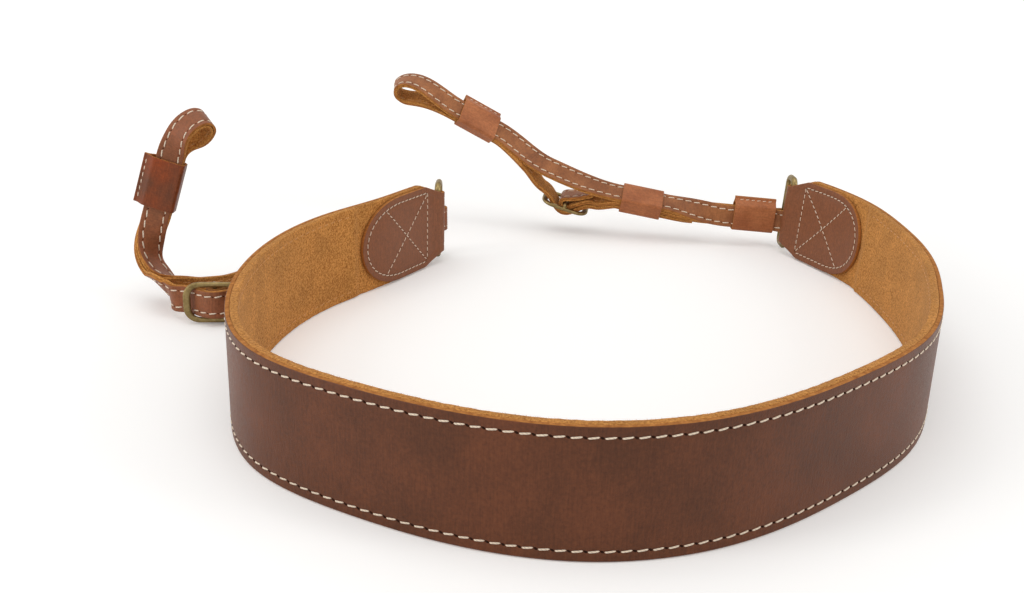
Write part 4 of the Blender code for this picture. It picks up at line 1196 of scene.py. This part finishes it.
def band_line(corners, radii, step):
    """A line through corners, each rounded by a quadratic curve, read off evenly."""
    corners = np.asarray(corners, dtype=float)
    share = np.linspace(0.0, 1.0, 12)[:, None]
    parts = [corners[:1]]
    for before, corner, after, radius in zip(corners[:-2], corners[1:-1], corners[2:], radii):
        start = corner + unit(before - corner) * radius
        end = corner + unit(after - corner) * radius
        parts.append((1 - share) ** 2 * start + 2 * share * (1 - share) * corner + share ** 2 * end)
    line = np.vstack(parts + [corners[-1:]])
    along = arc_lengths(line)
    even = np.linspace(0.0, along[-1], int(along[-1] / step))
    return read_off(even, along, line)


def keeper_line(lowest, highest, fin):
    """Middle line of a keeper's wall, seen along the strap, anticlockwise in (width, face)."""
    wall = KEEPER_WALL / 2
    edge = STRAP_WIDTH / 2 + GAP + wall
    low, high = lowest - GAP - wall, highest + GAP + wall
    corner = KEEPER_CORNER * 0.85
    if fin:
        point = STRAP_WIDTH / 2 + GAP + KEEPER_WALL + KEEPER_FIN
        knee, sewn, shoulder = point - KEEPER_FIN + FIN_KNEE, wall + FIN_HALF_GAP, edge - FIN_SHOULDER
        corners = [(point, sewn), (knee, sewn), (shoulder, high), (-edge, high),
                   (-edge, low), (shoulder, low), (knee, -sewn), (point, -sewn)]
        radii = [*FIN_ROUNDINGS, corner, corner, *reversed(FIN_ROUNDINGS)]
    else:
        corners = [(-0.05 * MM, low), (edge, low), (edge, high),
                   (-edge, high), (-edge, low), (-0.15 * MM, low)]
        radii = [corner] * 4
    return band_line(corners, radii, KEEPER_ROW_STEP)


class STRAP_OT_keepers(bpy.types.Operator):
    """Build the six keepers: bands of leather round the straps, four of them with a sewn fin"""

    bl_idname = "strap.keepers"
    bl_label = "Keepers"

    def execute(self, context):
        sewing = context.scene.strap_sewing
        one = GAP / 2 + STRAP_THICKNESS
        for side in SIDES:
            frames = side_frames(side)
            for name, lowest, fin in (("end", -one, True), ("middle", -one - STRAP_PITCH, False),
                                      ("lug", -one, True)):
                place, run, face, width = frames[f"{name}_keeper"][:4]
                line = keeper_line(lowest, one, fin)
                ahead = unit(np.gradient(line, axis=0))
                wall = np.stack([ahead[:, 1], -ahead[:, 0]], axis=1) * KEEPER_WALL / 2
                near, far = (place + drawn[:, :1] * width + drawn[:, 1:] * face
                             for drawn in (line - wall, line + wall))
                runs_along = np.repeat(run[None, :], len(line), axis=0)
                # The left lug keeper takes the copy of the keeper leather with painted shade
                kind = "shaded keeper" if (side, name) == ("left", "lug") else "keeper"
                made = strip(f"keeper_{side}_{name}_band", near, far, runs_along, KEEPER_LENGTH / 2,
                             finish_of(kind), sewing=sewing)
                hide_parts(f"keeper_{side}_{name}")
                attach(made, f"keeper_{side}_{name}")
                if not fin:
                    continue
                reach = STRAP_WIDTH / 2 + GAP + KEEPER_WALL + KEEPER_FIN - FIN_SEAM_INSET
                end = KEEPER_LENGTH / 2 - FIN_SEAM_MARGIN
                along = np.linspace(-end, end, STRAIGHT_POINTS)[:, None]
                lines = [(place + width * reach + face * out * KEEPER_WALL + along * run,
                          np.repeat(face[None, :] * out, STRAIGHT_POINTS, axis=0)) for out in (1.0, -1.0)]
                stitches = seam(f"keeper_{side}_{name}_stitches", lines, sewing.tab_pitch, sewing.tab_length,
                                sewing.tab_thread * 1.1, 0.0, finish_of("thread"))
                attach(stitches, f"keeper_{side}_{name}")
        return {"FINISHED"}


def swept_bar(path, across, out, wide, deep, power, sides=BAR_SIDES):
    """A closed bar: a superellipse section of the given power carried round a closed path."""
    turn = np.arange(sides) * 2 * math.pi / sides
    a = np.sign(np.cos(turn)) * np.abs(np.cos(turn)) ** (2 / power)
    b = np.sign(np.sin(turn)) * np.abs(np.sin(turn)) ** (2 / power)
    wide = np.broadcast_to(wide, len(path))[:, None, None]
    return path[:, None] + across[:, None] * a[:, None] * wide / 2 + out * b[:, None] * deep / 2


def metal_object(name, shells):
    """One brass object from (points grid, closed along) shells; an open shell gets flat ends."""
    points, faces, start = [], [], 0
    for grid, closed in shells:
        rows, columns = grid.shape[:2]
        faces += (tube_faces(rows, columns, closed)[0] + start).tolist()
        if not closed:
            first = list(range(start, start + columns))
            faces += [first[::-1], [corner + (rows - 1) * columns for corner in first]]
        points.append(grid.reshape(-1, 3))
        start += rows * columns
    points = np.vstack(points)
    corner_uv = np.zeros((sum(len(face) for face in faces), 2))
    return mesh_object(name, points, faces, corner_uv, np.zeros(len(points)), finish_of("brass"))


class STRAP_OT_brass(bpy.types.Operator):
    """Build the brass: a round-bar ring in each fold, and an oval buckle with a centre bar on each strap"""

    bl_idname = "strap.brass"
    bl_label = "Rings and buckles"

    def execute(self, context):
        pad = pad_spine()
        for side in SIDES:
            fold, reach, up = ring_fold(side, pad)
            half_height = NECK_WIDTH / 2 + RING_SIDE_GAP + RING_BAR / 2
            outline, normal = rounded_box(RING_REACH / 2, half_height, RING_CORNER, RING_CORNER_POINTS)
            path = fold + reach * RING_REACH / 2 + outline[:, :1] * reach + outline[:, 1:] * up
            across = normal[:, :1] * reach + normal[:, 1:] * up
            grid = swept_bar(path, across, np.cross(reach, up), RING_BAR, RING_BAR, 2.0)
            ring = metal_object(f"cast_ring_{side}", [(grid, True)])
            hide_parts(f"ring_{side}")
            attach(ring, f"ring_{side}")

            centre, run, face, width = side_frames(side)["buckle"][:4]
            half_height = STRAP_WIDTH / 2 + BUCKLE_SIDE_GAP + BUCKLE_BAR_WIDTH / 2
            outline, normal = rounded_box((BUCKLE_LENGTH - BUCKLE_END_WIDTH) / 2, half_height, BUCKLE_CORNER,
                                          BUCKLE_CORNER_POINTS)
            path = centre + outline[:, :1] * run + outline[:, 1:] * width
            across = normal[:, :1] * run + normal[:, 1:] * width
            breadth = BUCKLE_BAR_WIDTH + (BUCKLE_END_WIDTH - BUCKLE_BAR_WIDTH) * normal[:, 0] ** 2
            rim = swept_bar(path, across, face, breadth, BUCKLE_BAR_DEPTH, 2.6)
            rise = BUCKLE_CENTRE_RISE
            bridge = band_line([(-half_height, 0.0), (-half_height, rise), (half_height, rise),
                                (half_height, 0.0)], [0.5 * MM, 0.5 * MM], 0.25 * MM)
            ahead = unit(np.gradient(bridge, axis=0))
            place = centre + bridge[:, :1] * width + bridge[:, 1:] * face
            sideways = -ahead[:, 1:] * width + ahead[:, :1] * face
            turn = np.arange(BRIDGE_SIDES) * 2 * math.pi / BRIDGE_SIDES
            section = np.cos(turn)[:, None] * run + np.sin(turn)[None, :, None] * sideways[:, None]
            shells = [(rim, True), (place[:, None] + BUCKLE_CENTRE_BAR / 2 * section, False)]
            buckle = metal_object(f"cast_buckle_{side}", shells)
            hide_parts(f"buckle_{side}")
            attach(buckle, f"narrow_strap_{side}")
        return {"FINISHED"}


def lamp(name, power, size, place, target):
    """A soft rectangular lamp that faces its target."""
    data = bpy.data.lights.new(name, "AREA")
    data.energy = power
    data.shape = "RECTANGLE"
    data.size, data.size_y = size
    made = bpy.data.objects.new(name, data)
    made.location = place
    made.rotation_mode = "QUATERNION"
    made.rotation_quaternion = (Vector(target) - Vector(place)).to_track_quat("-Z", "Y")
    bpy.context.scene.collection.objects.link(made)


class STRAP_OT_stage(bpy.types.Operator):
    """Set the stage: white paper, soft lamps and the photograph's viewpoint"""

    bl_idname = "strap.stage"
    bl_label = "Stage"

    def execute(self, context):
        scene = context.scene
        settings = scene.strap_stage
        scene.view_settings.view_transform = "Standard"
        world = bpy.data.worlds.new("studio")
        world.use_nodes = True
        tree = world.node_tree
        tree.nodes.clear()
        rays = add(tree, "ShaderNodeLightPath").outputs
        seen = rays["Is Camera Ray"]
        for kind in ("Is Glossy Ray", "Is Transmission Ray"):
            seen = add(tree, "ShaderNodeMath", {0: seen, 1: rays[kind]}, operation="MAXIMUM").outputs[0]
        light = add(tree, "ShaderNodeBackground", {"Color": (1, 1, 1, 1), "Strength": settings.sky})
        white = add(tree, "ShaderNodeBackground", {"Color": (1, 1, 1, 1), "Strength": 1.0})
        mixed = add(tree, "ShaderNodeMixShader", {0: seen, 1: light.outputs[0], 2: white.outputs[0]})
        add(tree, "ShaderNodeOutputWorld", {0: mixed.outputs[0]})
        scene.world = world

        paper = bpy.data.meshes.new("paper_floor")
        reach = 6.0
        paper.from_pydata([(-reach, -reach, 0), (reach, -reach, 0), (reach, reach, 0), (-reach, reach, 0)],
                          [], [(0, 1, 2, 3)])
        floor = bpy.data.objects.new("paper_floor", paper)
        floor.location = (0.0, 0.0, -0.0002)
        scene.collection.objects.link(floor)
        made, tree = blank("white_paper")
        seen = add(tree, "ShaderNodeLightPath").outputs["Is Camera Ray"]
        sheet = add(tree, "ShaderNodeBsdfDiffuse", {"Color": settings.floor}).outputs[0]
        place = add(tree, "ShaderNodeTexCoord").outputs["Object"]
        away = add(tree, "ShaderNodeVectorMath", {0: place}, operation="LENGTH").outputs["Value"]
        lift = ranged(tree, away, 0.25, 1.2, 0.15, 0.5)
        glow = add(tree, "ShaderNodeEmission", {"Color": (1, 1, 1, 1), "Strength": lift})
        lit = add(tree, "ShaderNodeAddShader", {0: sheet, 1: glow.outputs[0]})
        shown = add(tree, "ShaderNodeMixShader", {0: seen, 1: sheet, 2: lit.outputs[0]})
        add(tree, "ShaderNodeOutputMaterial", {0: shown.outputs[0]})
        paper.materials.append(made)

        for name, power, size, place, target in LAMPS:
            lamp(name, getattr(settings, power), size, place, target)

        ahead = np.array([0.0, math.cos(VIEW_TILT), -math.sin(VIEW_TILT)])
        rise = np.array([0.0, math.sin(VIEW_TILT), math.cos(VIEW_TILT)])
        level = np.array([1.0, 0.0, 0.0])
        right = math.cos(VIEW_ROLL) * level + math.sin(VIEW_ROLL) * rise
        up = -math.sin(VIEW_ROLL) * level + math.cos(VIEW_ROLL) * rise
        data = bpy.data.cameras.new("viewpoint")
        data.sensor_fit = "HORIZONTAL"
        data.sensor_width = SENSOR_WIDTH
        data.lens = VIEW_FOCAL / PICTURE_WIDTH * SENSOR_WIDTH
        data.clip_start, data.clip_end = 0.01, 50.0
        view = bpy.data.objects.new("viewpoint", data)
        place = SHIFT + (0.0, 0.0, VIEW_HEIGHT)
        rows = np.vstack([np.stack([right, up, -ahead, place], axis=1), [0.0, 0.0, 0.0, 1.0]])
        view.matrix_world = Matrix(rows.tolist())
        scene.collection.objects.link(view)
        scene.camera = view
        return {"FINISHED"}


class STRAP_PT_panel(bpy.types.Panel):
    """The strap's steps and settings"""

    bl_idname = "STRAP_PT_panel"
    bl_label = "Leather strap"
    bl_space_type = "VIEW_3D"
    bl_region_type = "UI"
    bl_category = "Strap"

    def draw(self, context):
        for step in STEPS:
            self.layout.operator(step.bl_idname)
        for group in (context.scene.strap_sewing, context.scene.strap_colours, context.scene.strap_stage):
            box = self.layout.box()
            for key in group.bl_rna.properties.keys():
                if key not in ("rna_type", "name"):
                    box.prop(group, key)


GROUPS = {"strap_sewing": StrapSewing, "strap_colours": StrapColours, "strap_stage": StrapStage}
STEPS = (STRAP_OT_stage, STRAP_OT_pad, STRAP_OT_nap, STRAP_OT_pad_sewing, STRAP_OT_narrow_straps,
         STRAP_OT_keepers, STRAP_OT_brass)


def register():
    """Register the classes and hang the settings on the scene."""
    for kind in (*GROUPS.values(), *STEPS, STRAP_PT_panel):
        bpy.utils.register_class(kind)
    for name, kind in GROUPS.items():
        setattr(bpy.types.Scene, name, PointerProperty(type=kind))


def unregister():
    """Take the settings and the classes away again."""
    for name in GROUPS:
        delattr(bpy.types.Scene, name)
    for kind in (STRAP_PT_panel, *reversed(STEPS), *reversed(list(GROUPS.values()))):
        bpy.utils.unregister_class(kind)


def main():
    """Build everything."""
    register()
    bpy.ops.strap.stage()
    bpy.ops.strap.pad()
    bpy.ops.strap.nap()
    bpy.ops.strap.pad_sewing()
    bpy.ops.strap.narrow_straps()
    bpy.ops.strap.keepers()
    bpy.ops.strap.brass()
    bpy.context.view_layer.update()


if __name__ == "__main__":
    main()
